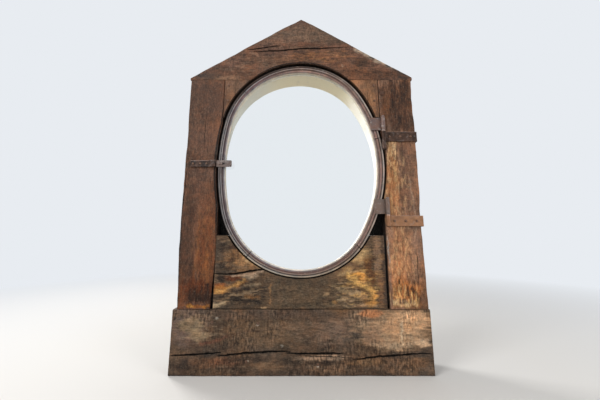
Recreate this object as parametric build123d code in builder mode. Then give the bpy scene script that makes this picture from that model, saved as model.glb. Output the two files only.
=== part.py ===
from build123d import *
import math
import os

# An oval dormer window with its oak frame.
# Millimetres. +X to the right and +Z up as seen from the room, +Y towards the weather side.
# The origin is the middle of the sill beam's underside, at mid-depth of the timbers.

# Sash: an oval of tangent arcs, whose left half is fuller than its right half
sash_half_width = 324.5
sash_half_height = 426.0
left_end_shortfall = 12.5
right_end_shortfall = 40.5
sash_width = 27.0
sash_thickness = 40.0
sash_proud = 0.5
outer_flat_width = 5.0
quirk_width = 2.5
quirk_depth = 2.5
bead_width = 7.5
bead_shoulder = 1.6
cove_width = 6.0
cove_bend = 0.35
moulding_drop = 5.0
arris_radius = 1.5
glass_depth = 14.0
rebate_width = 9.0
lap_length = 38.0
sash_peg_diameter = 6.0
glass_thickness = 3.0
glass_edge_gap = 0.5
putty_depth = 17.0
putty_heel = 1.5

# Places of the sash's four joints, as angles round its middle from +X
joint_angles = (9.0, 137.0, 227.0, 318.0)

# Running gaps round the closed sash
side_gap = 7.5
top_gap = 14.0
bottom_gap = 3.0
stop_gap = 0.5

# Frame timbers
frame_depth = 110.0
sill_height = 218.0
sill_overhang = 3.0
post_width = 139.0
scoop_depth = 16.0
foot_taper_height = 190.0
foot_inner_taper = 11.0
foot_outer_taper = 10.0
rail_web = 105.0
rail_cut_height = 157.0
rail_depth = 70.0
rail_open_joint = 9.0
tongue_length = 20.0
tongue_thickness = 30.0
head_overhang = 3.0
head_arch_rise = 77.0
head_web = 216.0
head_end_height = 14.0
spandrel_drop = 164.0
spandrel_depth = 60.0
corner_block_depth = 30.0
left_block_drop = 187.0
right_block_drop = 147.0
lining_front_wall = 25.5
reveal_left_wall = 5.0
reveal_right_wall = 17.0
reveal_top_wall = 34.0
reveal_bottom_wall = 17.0
timber_arris = 3.0
fit_clearance = 0.3

# Mortise and tenon joints of the posts
tenon_width = 62.0
tenon_thickness = 36.0
tenon_inset = 10.0
foot_tenon_length = 60.0
head_tenon_length = 34.0
joint_clearance = 0.2
frame_peg_diameter = 14.0
frame_peg_length = 88.0
square_peg_size = 16.0
square_peg_length = 60.0
square_peg_inset = 14.0
square_peg_drop = 59.0
square_peg_stand = 1.5

# Iron straps, hinges and latch
strap_thickness = 4.0
strap_turn = 38.0
upper_hinge_rise = 141.0
upper_leaf_height = 52.0
upper_knuckle_height = 79.0
lower_hinge_drop = 193.5
lower_leaf_height = 56.0
lower_knuckle_height = 45.0
post_strap_width = 42.0
strap_set_down = 2.0
knuckle_radius = 8.0
knuckle_stand = 1.0
pin_radius = 4.0
pin_running_clearance = 0.05
pin_stand = 1.0
pin_head_radius = 6.5
pin_head_height = 6.0
washer_height = 3.5
washer_width = 3.0
washer_clearance = 0.3
leaf_reach = 49.0
leaf_gap = 0.5
latch_rise = 3.0
latch_strap_width = 28.0
keep_strap_reach = 98.0
keep_lip_reach = 16.0
keep_crank_run = 8.0
keep_end_gap = 1.0
latch_bar_length = 60.0
latch_bar_width = 26.0
latch_bar_thickness = 3.0
latch_running_gap = 0.5
latch_keep_gap = 1.5
latch_nose_gap = 2.0
latch_slot_clearance = 0.2
latch_travel = 12.0
latch_tail_height = 10.0
stud_radius = 3.0
stud_head_radius = 4.2
stud_head_height = 2.0
stud_depth = 24.0
stud_spacing = 9.0
nail_radius = 2.2
nail_length = 34.0
nail_head_radius = 5.0
nail_head_height = 2.4
nail_head_sides = 8
nail_head_slope = 35.0
screw_length = 20.0
screw_head_radius = 4.0
screw_head_height = 1.2
leaf_screw_drop = 14.0
leaf_screw_inset = 11.0
spandrel_nail_inset = 18.0
spandrel_nail_drops = (24.0, 92.0)

# Places of the nails along each strap, as shares of its length
post_strap_nail_shares = (0.24, 0.54, 0.84)
keep_nail_shares = (0.12, 0.46, 0.76)

# Natural shakes of the old oak
shake_width = 4.0
shake_depth = 26.0
step_line_rise = 20.0
step_line_length = 106.0
step_line_width = 1.6

# Places on the timbers, as shares of half the timber's length and of its height
sill_nail_shares = ((-0.688, 0.807), (-0.334, 0.78), (-0.415, 0.216), (0.124, 0.174))
sill_shakes = (
    ((-0.991, 0.303), (-0.797, 0.317), (-0.607, 0.349)),
    ((-0.638, 0.298), (-0.463, 0.33), (-0.251, 0.362), (-0.085, 0.367)),
    ((-0.122, 0.339), (0.087, 0.33), (0.33, 0.339)),
    ((0.382, 0.243), (0.594, 0.289), (0.897, 0.335), (0.987, 0.339)),
)
rail_split = ((-1.003, 0.462), (-0.854, 0.462), (-0.703, 0.477), (-0.582, 0.504), (-0.405, 0.531))
head_shakes = (
    ((-0.502, 0.296), (-0.328, 0.352), (-0.188, 0.389)),
    ((-0.445, 0.259), (-0.214, 0.278), (0.0, 0.324), (0.192, 0.324), (0.448, 0.366)),
)
step_line_share = -0.354

# Levels in Y
room_face = -frame_depth / 2
outer_face = frame_depth / 2
sash_front = room_face - sash_proud
sash_back = sash_front + sash_thickness
lining_front = sash_back + stop_gap
glass_front = sash_front + glass_depth
glass_back = glass_front + glass_thickness
strap_front = room_face - strap_thickness

# Levels in Z
sill_top = sill_height
opening_bottom = sill_top + rail_web
sash_middle = opening_bottom + bottom_gap + sash_half_height
opening_half_width = sash_half_width + side_gap
opening_half_height = sash_half_height + (bottom_gap + top_gap) / 2
opening_middle = opening_bottom + opening_half_height
opening_top = opening_middle + opening_half_height
rail_top = opening_bottom + rail_cut_height
head_underside = opening_top - head_arch_rise
head_peak = opening_top + head_web
head_end_top = head_underside + head_end_height
spandrel_bottom = head_underside - spandrel_drop
left_block_top = sash_middle - left_block_drop
right_block_top = sash_middle - right_block_drop

# Places in X
post_inner = opening_half_width - scoop_depth
post_outer = post_inner + post_width
sill_end = post_outer + sill_overhang
head_end = post_outer + head_overhang
rail_right_end = post_inner - rail_open_joint
left_end_radius = sash_half_width - left_end_shortfall
right_end_radius = sash_half_width - right_end_shortfall
end_growth = opening_half_height - sash_half_height


def oval_arcs(half_width, half_height, left_radius, right_radius):
    """Six tangent arcs, anticlockwise from the lower right: centre, radius, start angle and sweep."""
    arcs = []
    for turn, end_radius in ((0.0, right_radius), (180.0, left_radius)):
        side_radius = (half_width**2 + half_height**2 - 2 * half_height * end_radius) / (
            2 * (half_width - end_radius)
        )
        reach = side_radius - half_width
        rise = half_height - end_radius
        meet = math.degrees(math.atan2(rise, reach))
        sign = 1.0 if turn == 0.0 else -1.0
        arcs.append((0.0, -sign * rise, end_radius, turn - 90.0, 90.0 - meet))
        arcs.append((-sign * reach, 0.0, side_radius, turn - meet, 2 * meet))
        arcs.append((0.0, sign * rise, end_radius, turn + meet, 90.0 - meet))
    return arcs


sash_oval = oval_arcs(sash_half_width, sash_half_height, left_end_radius, right_end_radius)
opening_oval = oval_arcs(
    opening_half_width,
    opening_half_height,
    left_end_radius + end_growth,
    right_end_radius + end_growth,
)

# The oval at the weather face, wider than the one behind the sash and set off to the left
reveal_half_width = opening_half_width - (reveal_left_wall + reveal_right_wall) / 2
reveal_half_height = opening_half_height - (reveal_top_wall + reveal_bottom_wall) / 2
reveal_shift = (reveal_left_wall - reveal_right_wall) / 2
reveal_middle = opening_middle + (reveal_bottom_wall - reveal_top_wall) / 2
reveal_oval = oval_arcs(
    reveal_half_width,
    reveal_half_height,
    reveal_half_width - left_end_shortfall,
    reveal_half_width - right_end_shortfall,
)


def oval_face(arcs, middle, grow=0.0):
    """The oval as a flat face, made larger all round by grow."""
    with BuildSketch() as flat:
        with BuildLine():
            for centre_x, centre_z, radius, start, sweep in arcs:
                CenterArc((centre_x, middle + centre_z), radius + grow, start, sweep)
        make_face()
    return flat.sketch_local


def oval_point(arcs, middle, angle, inset):
    """Where a ray from the oval's middle at this angle meets the line that lies inset inside the oval."""
    ray_x = math.cos(math.radians(angle))
    ray_z = math.sin(math.radians(angle))
    for centre_x, centre_z, radius, start, sweep in arcs:
        along = ray_x * centre_x + ray_z * centre_z
        reach = along + math.sqrt((radius - inset) ** 2 - centre_x**2 - centre_z**2 + along**2)
        seen = math.degrees(math.atan2(reach * ray_z - centre_z, reach * ray_x - centre_x))
        if (seen - start) % 360.0 <= sweep:
            return reach * ray_x, middle + reach * ray_z
    raise ValueError("the oval's arcs don't close")


def oval_edge_x(arcs, middle, level, inset):
    """The X of the oval's right edge at a level, measured inset inside it."""
    for centre_x, centre_z, radius, start, sweep in arcs[:3]:
        side = math.sqrt(max((radius - inset) ** 2 - (level - middle - centre_z) ** 2, 0.0))
        seen = math.degrees(math.atan2(level - middle - centre_z, side))
        if start <= seen <= start + sweep:
            return centre_x + side
    raise ValueError("the level lies outside the oval")


def turned_ring(arcs, middle, section):
    """A section of straight and curved pieces turned about each arc's centre: a moulded oval."""
    with BuildPart() as ring:
        for centre_x, centre_z, radius, start, sweep in arcs:
            centre = (centre_x, 0, middle + centre_z)
            outward = (math.cos(math.radians(start)), 0, math.sin(math.radians(start)))
            forward = (-outward[2], 0, outward[0])
            with BuildSketch(Plane(origin=centre, x_dir=outward, z_dir=forward)):
                with BuildLine():
                    for piece in section:
                        points = [(radius - inset, level) for inset, level in piece]
                        if len(points) == 3:
                            ThreePointArc(*points)
                        else:
                            Line(*points)
                make_face()
            revolve(axis=Axis(centre, (0, -1, 0)), revolution_arc=sweep)
    return ring.part


def sector(start, end, front, back):
    """A wedge of space round the sash's middle between two angles and two depths."""
    reach = 3 * sash_half_height
    steps = 4
    angles = [math.radians(start + (end - start) * k / steps) for k in range(steps + 1)]
    rim = [(reach * math.cos(a), sash_middle + reach * math.sin(a)) for a in angles]
    with BuildPart() as wedge:
        with BuildSketch(Plane.XZ.offset(-back)):
            with BuildLine():
                Polyline((0, sash_middle), *rim, close=True)
            make_face()
        extrude(amount=back - front)
    return wedge.part


def placed(shares, half_length, low, height):
    """Points given as shares, placed on a timber's room face."""
    return [(across * half_length, low + rise * height) for across, rise in shares]


def shake(line):
    """A crack that opens from a point, runs along the line and closes to a point, cut in from the room face."""
    upper = [(x, z + shake_width / 2) for x, z in line[1:-1]]
    lower = [(x, z - shake_width / 2) for x, z in reversed(line[1:-1])]
    with BuildPart() as crack:
        with BuildSketch(Plane.XZ.offset(-room_face)):
            with BuildLine():
                Polyline(line[0], *upper, line[-1], *lower, close=True)
            make_face()
        extrude(amount=-shake_depth)
    return crack.part


def face_holes(places, radius, front, depth):
    """Round holes or shanks, from a front level towards the weather side."""
    with BuildPart() as holes:
        with BuildSketch(Plane.XZ.offset(-front)):
            with Locations(*places):
                Circle(radius)
        extrude(amount=-depth)
    return holes.part


def headed_nails(places, front, length, head_radius, head_height):
    """Nails with low faceted heads that sit on the front level."""
    with BuildPart() as nails:
        with BuildSketch(Plane.XZ.offset(-front)):
            with Locations(*places):
                Circle(nail_radius)
        extrude(amount=-length)
        with BuildSketch(Plane.XZ.offset(-front)):
            with Locations(*places):
                RegularPolygon(head_radius, nail_head_sides)
        extrude(amount=head_height, taper=nail_head_slope)
    return nails.part


def tenon_block(low_x, width, low_z, length, clearance):
    """A tenon at mid-depth of the timbers, or its mortise when it is given a clearance."""
    with BuildPart() as block:
        with BuildSketch(Plane.XZ.offset(-tenon_thickness / 2 - clearance)):
            with Locations((low_x + width / 2, low_z + length / 2)):
                Rectangle(width + 2 * clearance, length)
        extrude(amount=tenon_thickness + 2 * clearance)
    return block.part


def tongue_block(low_x, high_x, clearance):
    """The rail's end tongue, or its groove in the post when it is given a clearance."""
    with BuildPart() as block:
        with BuildSketch(Plane.XZ.offset(-tongue_back - clearance)):
            with Locations(((low_x + high_x) / 2, (sill_top + rail_top) / 2)):
                Rectangle(high_x - low_x, rail_top - sill_top + 2 * clearance)
        extrude(amount=tongue_thickness + 2 * clearance)
    return block.part


# Places of the tenons, pegs and nails
tongue_back = room_face + rail_depth / 2 + tongue_thickness / 2
right_tenon_x = post_inner + tenon_inset
left_tenon_x = -right_tenon_x - tenon_width
tenon_middle = right_tenon_x + tenon_width / 2
foot_peg_level = sill_top - foot_tenon_length / 2
head_peg_level = head_underside + head_tenon_length / 2
frame_peg_places = [
    (side * tenon_middle, level) for side in (-1, 1) for level in (foot_peg_level, head_peg_level)
]
frame_peg_front = outer_face - frame_peg_length
square_peg_place = (post_inner + square_peg_inset, head_underside - square_peg_drop)
sill_nail_places = placed(sill_nail_shares, sill_end, 0, sill_height)
spandrel_nail_places = [
    (side * (post_inner - spandrel_nail_inset), head_underside - drop)
    for side in (-1, 1)
    for drop in spandrel_nail_drops
]

# Places of the hinges: both turn on one upright axis in front of the right post
hinge_x = sash_half_width + leaf_gap
hinge_y = room_face - knuckle_stand - knuckle_radius
upper_leaf_low = sash_middle + upper_hinge_rise
upper_knuckle_top = upper_leaf_low - washer_height - washer_clearance
upper_strap_top = upper_knuckle_top - strap_set_down
lower_leaf_low = sash_middle - lower_hinge_drop
lower_knuckle_top = lower_leaf_low - washer_height - washer_clearance
lower_strap_top = lower_knuckle_top - strap_set_down
upper_strap_level = upper_strap_top - post_strap_width / 2
lower_strap_level = lower_strap_top - post_strap_width / 2
strap_nail_places = [
    (post_inner + post_width * share, level)
    for level in (upper_strap_level, lower_strap_level)
    for share in post_strap_nail_shares
]
leaf_front = sash_front - strap_thickness


def leaf_screw_places(low, height):
    """Two screws of a hinge leaf, on the middle line of the sash's wood."""
    levels = (low + leaf_screw_drop, low + height - leaf_screw_drop)
    return [(oval_edge_x(sash_oval, sash_middle, level, leaf_screw_inset), level) for level in levels]


all_leaf_screws = leaf_screw_places(upper_leaf_low, upper_leaf_height) + leaf_screw_places(
    lower_leaf_low, lower_leaf_height
)

# Places of the latch
latch_level = sash_middle + latch_rise
keep_lip_end = -opening_half_width - keep_end_gap
keep_crank = keep_lip_end - keep_lip_reach
keep_strap_end = keep_lip_end - keep_strap_reach
latch_bar_front = sash_front - latch_running_gap - latch_bar_thickness
keep_lip_back = latch_bar_front - latch_keep_gap
keep_lip_front = keep_lip_back - strap_thickness
latch_nose = keep_lip_end + latch_nose_gap
latch_tail = latch_nose + latch_bar_length
first_stud_x = -sash_half_width + outer_flat_width
stud_places = [(first_stud_x + k * stud_spacing, latch_level) for k in range(2)]
slot_radius = stud_radius + latch_slot_clearance
slot_low = first_stud_x
slot_high = first_stud_x + stud_spacing + latch_travel
keep_nail_places = [
    (keep_strap_end + (keep_crank - keep_strap_end) * share, latch_level) for share in keep_nail_shares
]

os.makedirs("parts", exist_ok=True)

# Sill beam, with the posts' mortises, the long shake and its nails' holes
with BuildPart() as sill_beam:
    with BuildSketch(Plane.YZ.offset(-sill_end)):
        with Locations((0, sill_height / 2)):
            Rectangle(frame_depth, sill_height)
    extrude(amount=2 * sill_end)
    chamfer(sill_beam.edges().filter_by(Axis.X).sort_by(Axis.Y)[:2], timber_arris)
    for low_x in (left_tenon_x, right_tenon_x):
        depth = foot_tenon_length + joint_clearance
        add(
            tenon_block(low_x, tenon_width, sill_top - depth, depth, joint_clearance),
            mode=Mode.SUBTRACT,
        )
    foot_pegs = [place for place in frame_peg_places if place[1] < sill_top]
    add(
        face_holes(foot_pegs, frame_peg_diameter / 2, frame_peg_front, frame_peg_length),
        mode=Mode.SUBTRACT,
    )
    add(face_holes(sill_nail_places, nail_radius, room_face, nail_length), mode=Mode.SUBTRACT)
    for shares in sill_shakes:
        add(shake(placed(shares, sill_end, 0, sill_height)), mode=Mode.SUBTRACT)
sill_beam.part.label = "sill_beam"
export_step(sill_beam.part, "parts/sill_beam.step")


def post_outline(side):
    """The post's outline: straight above, and tapering on both sides at its foot on the left."""
    inner_taper = foot_inner_taper if side < 0 else 0.0
    outer_taper = foot_outer_taper if side < 0 else 0.0
    taper_top = sill_top + foot_taper_height
    return [
        (side * (post_inner + inner_taper), sill_top),
        (side * post_inner, taper_top),
        (side * post_inner, head_underside),
        (side * post_outer, head_underside),
        (side * post_outer, taper_top),
        (side * (post_outer - outer_taper), sill_top),
    ]


# Posts, scooped for the oval, with a tenon at each end and a groove for the rail
for side, name in ((-1, "left_post"), (1, "right_post")):
    tenon_x = left_tenon_x if side < 0 else right_tenon_x
    with BuildPart() as post:
        with BuildSketch(Plane.XZ.offset(-outer_face)):
            with BuildLine():
                Polyline(*post_outline(side), close=True)
            make_face()
        extrude(amount=frame_depth)
        corner = post.edges().filter_by(Axis.Z).sort_by(Axis.Y)[:4].sort_by(Axis.X)
        chamfer(corner[0] if side < 0 else corner[-1], timber_arris)
        with BuildSketch(Plane.XZ.offset(-outer_face)):
            add(oval_face(opening_oval, opening_middle))
        extrude(amount=frame_depth, mode=Mode.SUBTRACT)
        add(tenon_block(tenon_x, tenon_width, sill_top - foot_tenon_length, foot_tenon_length, 0))
        add(tenon_block(tenon_x, tenon_width, head_underside, head_tenon_length, 0))
        groove_low = side * (post_inner - fit_clearance)
        groove_end = side * (post_inner + tongue_length + fit_clearance)
        add(
            tongue_block(min(groove_low, groove_end), max(groove_low, groove_end), fit_clearance),
            mode=Mode.SUBTRACT,
        )
        add(
            face_holes(frame_peg_places, frame_peg_diameter / 2, frame_peg_front, frame_peg_length),
            mode=Mode.SUBTRACT,
        )
        if side < 0:
            add(face_holes(keep_nail_places, nail_radius, room_face, nail_length), mode=Mode.SUBTRACT)
        else:
            add(face_holes(strap_nail_places, nail_radius, room_face, nail_length), mode=Mode.SUBTRACT)
            with BuildSketch(Plane.XZ.offset(-room_face)):
                with Locations(square_peg_place):
                    Rectangle(square_peg_size, square_peg_size)
            extrude(amount=-square_peg_length, mode=Mode.SUBTRACT)
    post.part.label = name
    export_step(post.part, f"parts/{name}.step")

# Lower rail, cut to the oval, tongued into the posts, split at its left end, with a small step
rail_height = rail_top - sill_top
step_line_middle = (step_line_share * post_inner, sill_top + step_line_rise + step_line_length / 2)
with BuildPart() as lower_rail:
    with BuildSketch(Plane.XZ.offset(-room_face - rail_depth)):
        with Locations(((rail_right_end - post_inner) / 2, sill_top + rail_height / 2)):
            Rectangle(rail_right_end + post_inner, rail_height)
    extrude(amount=rail_depth)
    add(tongue_block(-post_inner - tongue_length, -post_inner, 0))
    add(tongue_block(rail_right_end, post_inner + tongue_length, 0))
    with BuildSketch(Plane.XZ.offset(-outer_face)):
        add(oval_face(opening_oval, opening_middle))
    extrude(amount=frame_depth, mode=Mode.SUBTRACT)
    add(shake(placed(rail_split, post_inner, sill_top, rail_height)), mode=Mode.SUBTRACT)
    with BuildSketch(Plane.XZ.offset(-room_face)):
        with Locations(step_line_middle):
            Rectangle(step_line_width, step_line_length)
    extrude(amount=-step_line_width, mode=Mode.SUBTRACT)
lower_rail.part.label = "lower_rail"
export_step(lower_rail.part, "parts/lower_rail.step")

# Head beam: a gabled timber with the arch of the oval in its underside
with BuildPart() as head_beam:
    with BuildSketch(Plane.XZ.offset(-outer_face)):
        with BuildLine():
            Polyline(
                (-head_end, head_underside),
                (-head_end, head_end_top),
                (0, head_peak),
                (head_end, head_end_top),
                (head_end, head_underside),
                close=True,
            )
        make_face()
        add(oval_face(opening_oval, opening_middle), mode=Mode.SUBTRACT)
    extrude(amount=frame_depth)
    for low_x in (left_tenon_x, right_tenon_x):
        length = head_tenon_length + joint_clearance
        add(
            tenon_block(low_x, tenon_width, head_underside, length, joint_clearance),
            mode=Mode.SUBTRACT,
        )
    head_pegs = [place for place in frame_peg_places if place[1] > head_underside]
    add(
        face_holes(head_pegs, frame_peg_diameter / 2, frame_peg_front, frame_peg_length),
        mode=Mode.SUBTRACT,
    )
    for shares in head_shakes:
        add(shake(placed(shares, head_end, opening_top, head_web)), mode=Mode.SUBTRACT)
head_beam.part.label = "head_beam"
export_step(head_beam.part, "parts/head_beam.step")

# Spandrel boards in the top corners and blocks in the lower corners, both cut to the oval
corner_pieces = (
    ("left_spandrel", -1, spandrel_bottom, head_underside, room_face, spandrel_depth),
    ("right_spandrel", 1, spandrel_bottom, head_underside, room_face, spandrel_depth),
    ("left_corner_block", -1, rail_top, left_block_top, lining_front, corner_block_depth),
    ("right_corner_block", 1, rail_top, right_block_top, lining_front, corner_block_depth),
)
for name, side, low, high, front, depth in corner_pieces:
    back = front + depth
    with BuildPart() as corner_piece:
        with BuildSketch(Plane.XZ.offset(-back)):
            with Locations((side * post_inner / 2, (low + high) / 2)):
                Rectangle(post_inner, high - low)
            add(oval_face(opening_oval, opening_middle), mode=Mode.SUBTRACT)
        extrude(amount=depth)
        if front == room_face:
            holes = [place for place in spandrel_nail_places if place[0] * side > 0]
            add(face_holes(holes, nail_radius, room_face, nail_length), mode=Mode.SUBTRACT)
    corner_piece.part.label = name
    export_step(corner_piece.part, f"parts/{name}.step")

# Outer lining: the fixed oval that the sash closes against, flaring out to the weather face
with BuildPart() as outer_lining:
    with BuildSketch(Plane.XZ.offset(-outer_face)):
        add(oval_face(opening_oval, opening_middle, -fit_clearance))
    extrude(amount=outer_face - lining_front)
    with BuildSketch(Plane.XZ.offset(-lining_front)):
        add(oval_face(opening_oval, opening_middle, -fit_clearance - lining_front_wall))
    with BuildSketch(Plane.XZ.offset(-outer_face)):
        with Locations((reveal_shift, 0)):
            add(oval_face(reveal_oval, reveal_middle))
    loft(mode=Mode.SUBTRACT)
outer_lining.part.label = "outer_lining"
export_step(outer_lining.part, "parts/outer_lining.step")

# Pegs and nails of the frame
with BuildPart() as frame_pegs:
    add(face_holes(frame_peg_places, frame_peg_diameter / 2, frame_peg_front, frame_peg_length))
frame_pegs.part.label = "frame_pegs"
export_step(frame_pegs.part, "parts/frame_pegs.step")

with BuildPart() as square_peg:
    with BuildSketch(Plane.XZ.offset(-room_face - square_peg_length)):
        with Locations(square_peg_place):
            Rectangle(square_peg_size, square_peg_size)
    extrude(amount=square_peg_length + square_peg_stand)
    chamfer(square_peg.faces().sort_by(Axis.Y)[0].edges(), square_peg_stand / 2)
square_peg.part.label = "square_peg"
export_step(square_peg.part, "parts/square_peg.step")

nail_groups = (
    ("sill_nails", sill_nail_places, room_face, nail_length),
    ("spandrel_nails", spandrel_nail_places, room_face, nail_length),
    ("keep_nails", keep_nail_places, strap_front, nail_length + strap_thickness),
    ("strap_nails", strap_nail_places, strap_front, nail_length + strap_thickness),
)
for name, places, front, length in nail_groups:
    with BuildPart() as nails:
        add(headed_nails(places, front, length, nail_head_radius, nail_head_height))
    nails.part.label = name
    export_step(nails.part, f"parts/{name}.step")

# Sash: one moulded section turned round the oval, from the outer edge to the glass and back
flat_end = outer_flat_width
quirk_end = flat_end + quirk_width
bead_end = quirk_end + bead_width
cove_end = bead_end + cove_width
rebate_inset = sash_width - rebate_width
front = sash_front
back = sash_back
seat = glass_front
lower = sash_front + moulding_drop
shoulder = sash_front + bead_shoulder
sash_section = [
    [(0, back), (0, front + arris_radius)],
    [(0, front + arris_radius), (arris_radius, front)],
    [(arris_radius, front), (flat_end, front)],
    [(flat_end, front), (flat_end, front + quirk_depth)],
    [(flat_end, front + quirk_depth), (quirk_end, front + quirk_depth)],
    [(quirk_end, front + quirk_depth), (quirk_end, shoulder)],
    [(quirk_end, shoulder), ((quirk_end + bead_end) / 2, front), (bead_end, shoulder)],
    [
        (bead_end, shoulder),
        (bead_end + cove_width * cove_bend, lower - (lower - shoulder) * cove_bend),
        (cove_end, lower),
    ],
    [(cove_end, lower), (sash_width - arris_radius, lower)],
    [(sash_width - arris_radius, lower), (sash_width, lower + arris_radius)],
    [(sash_width, lower + arris_radius), (sash_width, seat)],
    [(sash_width, seat), (rebate_inset, seat)],
    [(rebate_inset, seat), (rebate_inset, back)],
    [(rebate_inset, back), (0, back)],
]
sash_ring = turned_ring(sash_oval, sash_middle, sash_section)
sash_peg_inset = rebate_inset / 2
sash_peg_places = [oval_point(sash_oval, sash_middle, a, sash_peg_inset) for a in joint_angles]
lap_turn = math.degrees(lap_length / 2 / sash_half_height)
lap_level = (sash_front + sash_back) / 2
segment_names = ("sash_top", "sash_left", "sash_bottom", "sash_right")
for k, name in enumerate(segment_names):
    start = joint_angles[k]
    end = joint_angles[(k + 1) % 4]
    if end < start:
        end += 360.0
    with BuildPart() as segment:
        add(sash_ring)
        with BuildPart(mode=Mode.PRIVATE) as reach:
            add(sector(start + lap_turn, end + lap_turn, room_face - frame_depth, lap_level))
            add(sector(start - lap_turn, end - lap_turn, lap_level, outer_face + frame_depth))
        add(reach.part, mode=Mode.INTERSECT)
        add(
            face_holes(sash_peg_places, sash_peg_diameter / 2, sash_front, sash_thickness),
            mode=Mode.SUBTRACT,
        )
        if name == "sash_left":
            add(face_holes(stud_places, stud_radius, sash_front, stud_depth), mode=Mode.SUBTRACT)
        if name in ("sash_top", "sash_right"):
            add(
                face_holes(all_leaf_screws, nail_radius, sash_front, screw_length),
                mode=Mode.SUBTRACT,
            )
    segment.part.label = name
    export_step(segment.part, f"parts/{name}.step")

with BuildPart() as sash_pegs:
    add(face_holes(sash_peg_places, sash_peg_diameter / 2, sash_front, sash_thickness))
sash_pegs.part.label = "sash_pegs"
export_step(sash_pegs.part, "parts/sash_pegs.step")

# Glass, bedded against the sash's lip, and its putty behind
glass_inset = rebate_inset + glass_edge_gap
with BuildPart() as glass_pane:
    with BuildSketch(Plane.XZ.offset(-glass_back)):
        add(oval_face(sash_oval, sash_middle, -glass_inset))
    extrude(amount=glass_thickness)
glass_pane.part.label = "glass_pane"
export_step(glass_pane.part, "parts/glass_pane.step")

putty_back = glass_back + putty_depth
putty_section = [
    [(rebate_inset, glass_back), (rebate_inset, putty_back)],
    [(rebate_inset, putty_back), (rebate_inset + putty_heel, putty_back)],
    [(rebate_inset + putty_heel, putty_back), (sash_width, glass_back + putty_heel)],
    [(sash_width, glass_back + putty_heel), (sash_width, glass_back)],
    [(sash_width, glass_back), (rebate_inset, glass_back)],
]
with BuildPart() as glazing_putty:
    add(turned_ring(sash_oval, sash_middle, putty_section))
glazing_putty.part.label = "glazing_putty"
export_step(glazing_putty.part, "parts/glazing_putty.step")


def upright_tube(low, height, outer, inner):
    """A round tube, or a solid bar when inner is zero, on the hinge axis."""
    with BuildPart() as tube:
        with BuildSketch(Plane.XY.offset(low)):
            with Locations((hinge_x, hinge_y)):
                Circle(outer)
                if inner > 0:
                    Circle(inner, mode=Mode.SUBTRACT)
        extrude(amount=height)
    return tube.part


# Hinges: a strap on the post with its eye and pin below, and a leaf on the sash with its eye above
hinges = (
    ("upper", upper_leaf_low, upper_leaf_height, upper_knuckle_top, upper_knuckle_height, upper_strap_top),
    ("lower", lower_leaf_low, lower_leaf_height, lower_knuckle_top, lower_knuckle_height, lower_strap_top),
)
for name, leaf_low, leaf_height, knuckle_top, knuckle_height, strap_top in hinges:
    strap_low = strap_top - post_strap_width
    with BuildPart() as post_strap:
        with BuildSketch(Plane.XY.offset(strap_low)):
            with BuildLine():
                Polyline(
                    (hinge_x, room_face),
                    (post_outer, room_face),
                    (post_outer, room_face + strap_turn),
                    (post_outer + strap_thickness, room_face + strap_turn),
                    (post_outer + strap_thickness, strap_front),
                    (hinge_x, strap_front),
                    close=True,
                )
            make_face()
        extrude(amount=post_strap_width)
        arris = post_strap.edges().filter_by(Axis.Z).sort_by(Axis.Y)[:2].sort_by(Axis.X)[-1]
        fillet(arris, strap_thickness - 1)
        add(upright_tube(knuckle_top - knuckle_height, knuckle_height, knuckle_radius, 0))
        add(
            upright_tube(knuckle_top - knuckle_height, knuckle_height, pin_radius, 0),
            mode=Mode.SUBTRACT,
        )
        add(
            face_holes(strap_nail_places, nail_radius, strap_front, strap_thickness),
            mode=Mode.SUBTRACT,
        )
    post_strap.part.label = f"{name}_post_strap"
    export_step(post_strap.part, f"parts/{name}_post_strap.step")

    leaf_end = hinge_x - leaf_reach
    with BuildPart() as sash_leaf:
        with BuildSketch(Plane.XZ.offset(-sash_front)):
            with Locations(((leaf_end + hinge_x) / 2, leaf_low + leaf_height / 2)):
                RectangleRounded(hinge_x - leaf_end, leaf_height, strap_thickness)
        extrude(amount=strap_thickness)
        add(upright_tube(leaf_low, leaf_height, knuckle_radius, 0))
        bore = pin_radius + pin_running_clearance
        add(upright_tube(leaf_low, leaf_height, bore, 0), mode=Mode.SUBTRACT)
        add(
            face_holes(all_leaf_screws, nail_radius, leaf_front, strap_thickness),
            mode=Mode.SUBTRACT,
        )
    sash_leaf.part.label = f"{name}_sash_leaf"
    export_step(sash_leaf.part, f"parts/{name}_sash_leaf.step")

    pin_low = knuckle_top - knuckle_height
    pin_top = leaf_low + leaf_height + pin_stand
    with BuildPart() as pin:
        add(upright_tube(pin_low, pin_top - pin_low, pin_radius, 0))
        add(upright_tube(pin_top, pin_head_height, pin_head_radius, 0))
        fillet(pin.faces().sort_by(Axis.Z)[-1].edges(), pin_head_height / 2)
    pin.part.label = f"{name}_pin"
    export_step(pin.part, f"parts/{name}_pin.step")

    with BuildPart() as washer:
        add(upright_tube(knuckle_top, washer_height, pin_radius + washer_width, pin_radius))
    washer.part.label = f"{name}_washer"
    export_step(washer.part, f"parts/{name}_washer.step")

with BuildPart() as leaf_screws:
    add(
        headed_nails(
            all_leaf_screws,
            leaf_front,
            screw_length + strap_thickness,
            screw_head_radius,
            screw_head_height,
        )
    )
leaf_screws.part.label = "leaf_screws"
export_step(leaf_screws.part, "parts/leaf_screws.step")

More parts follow.
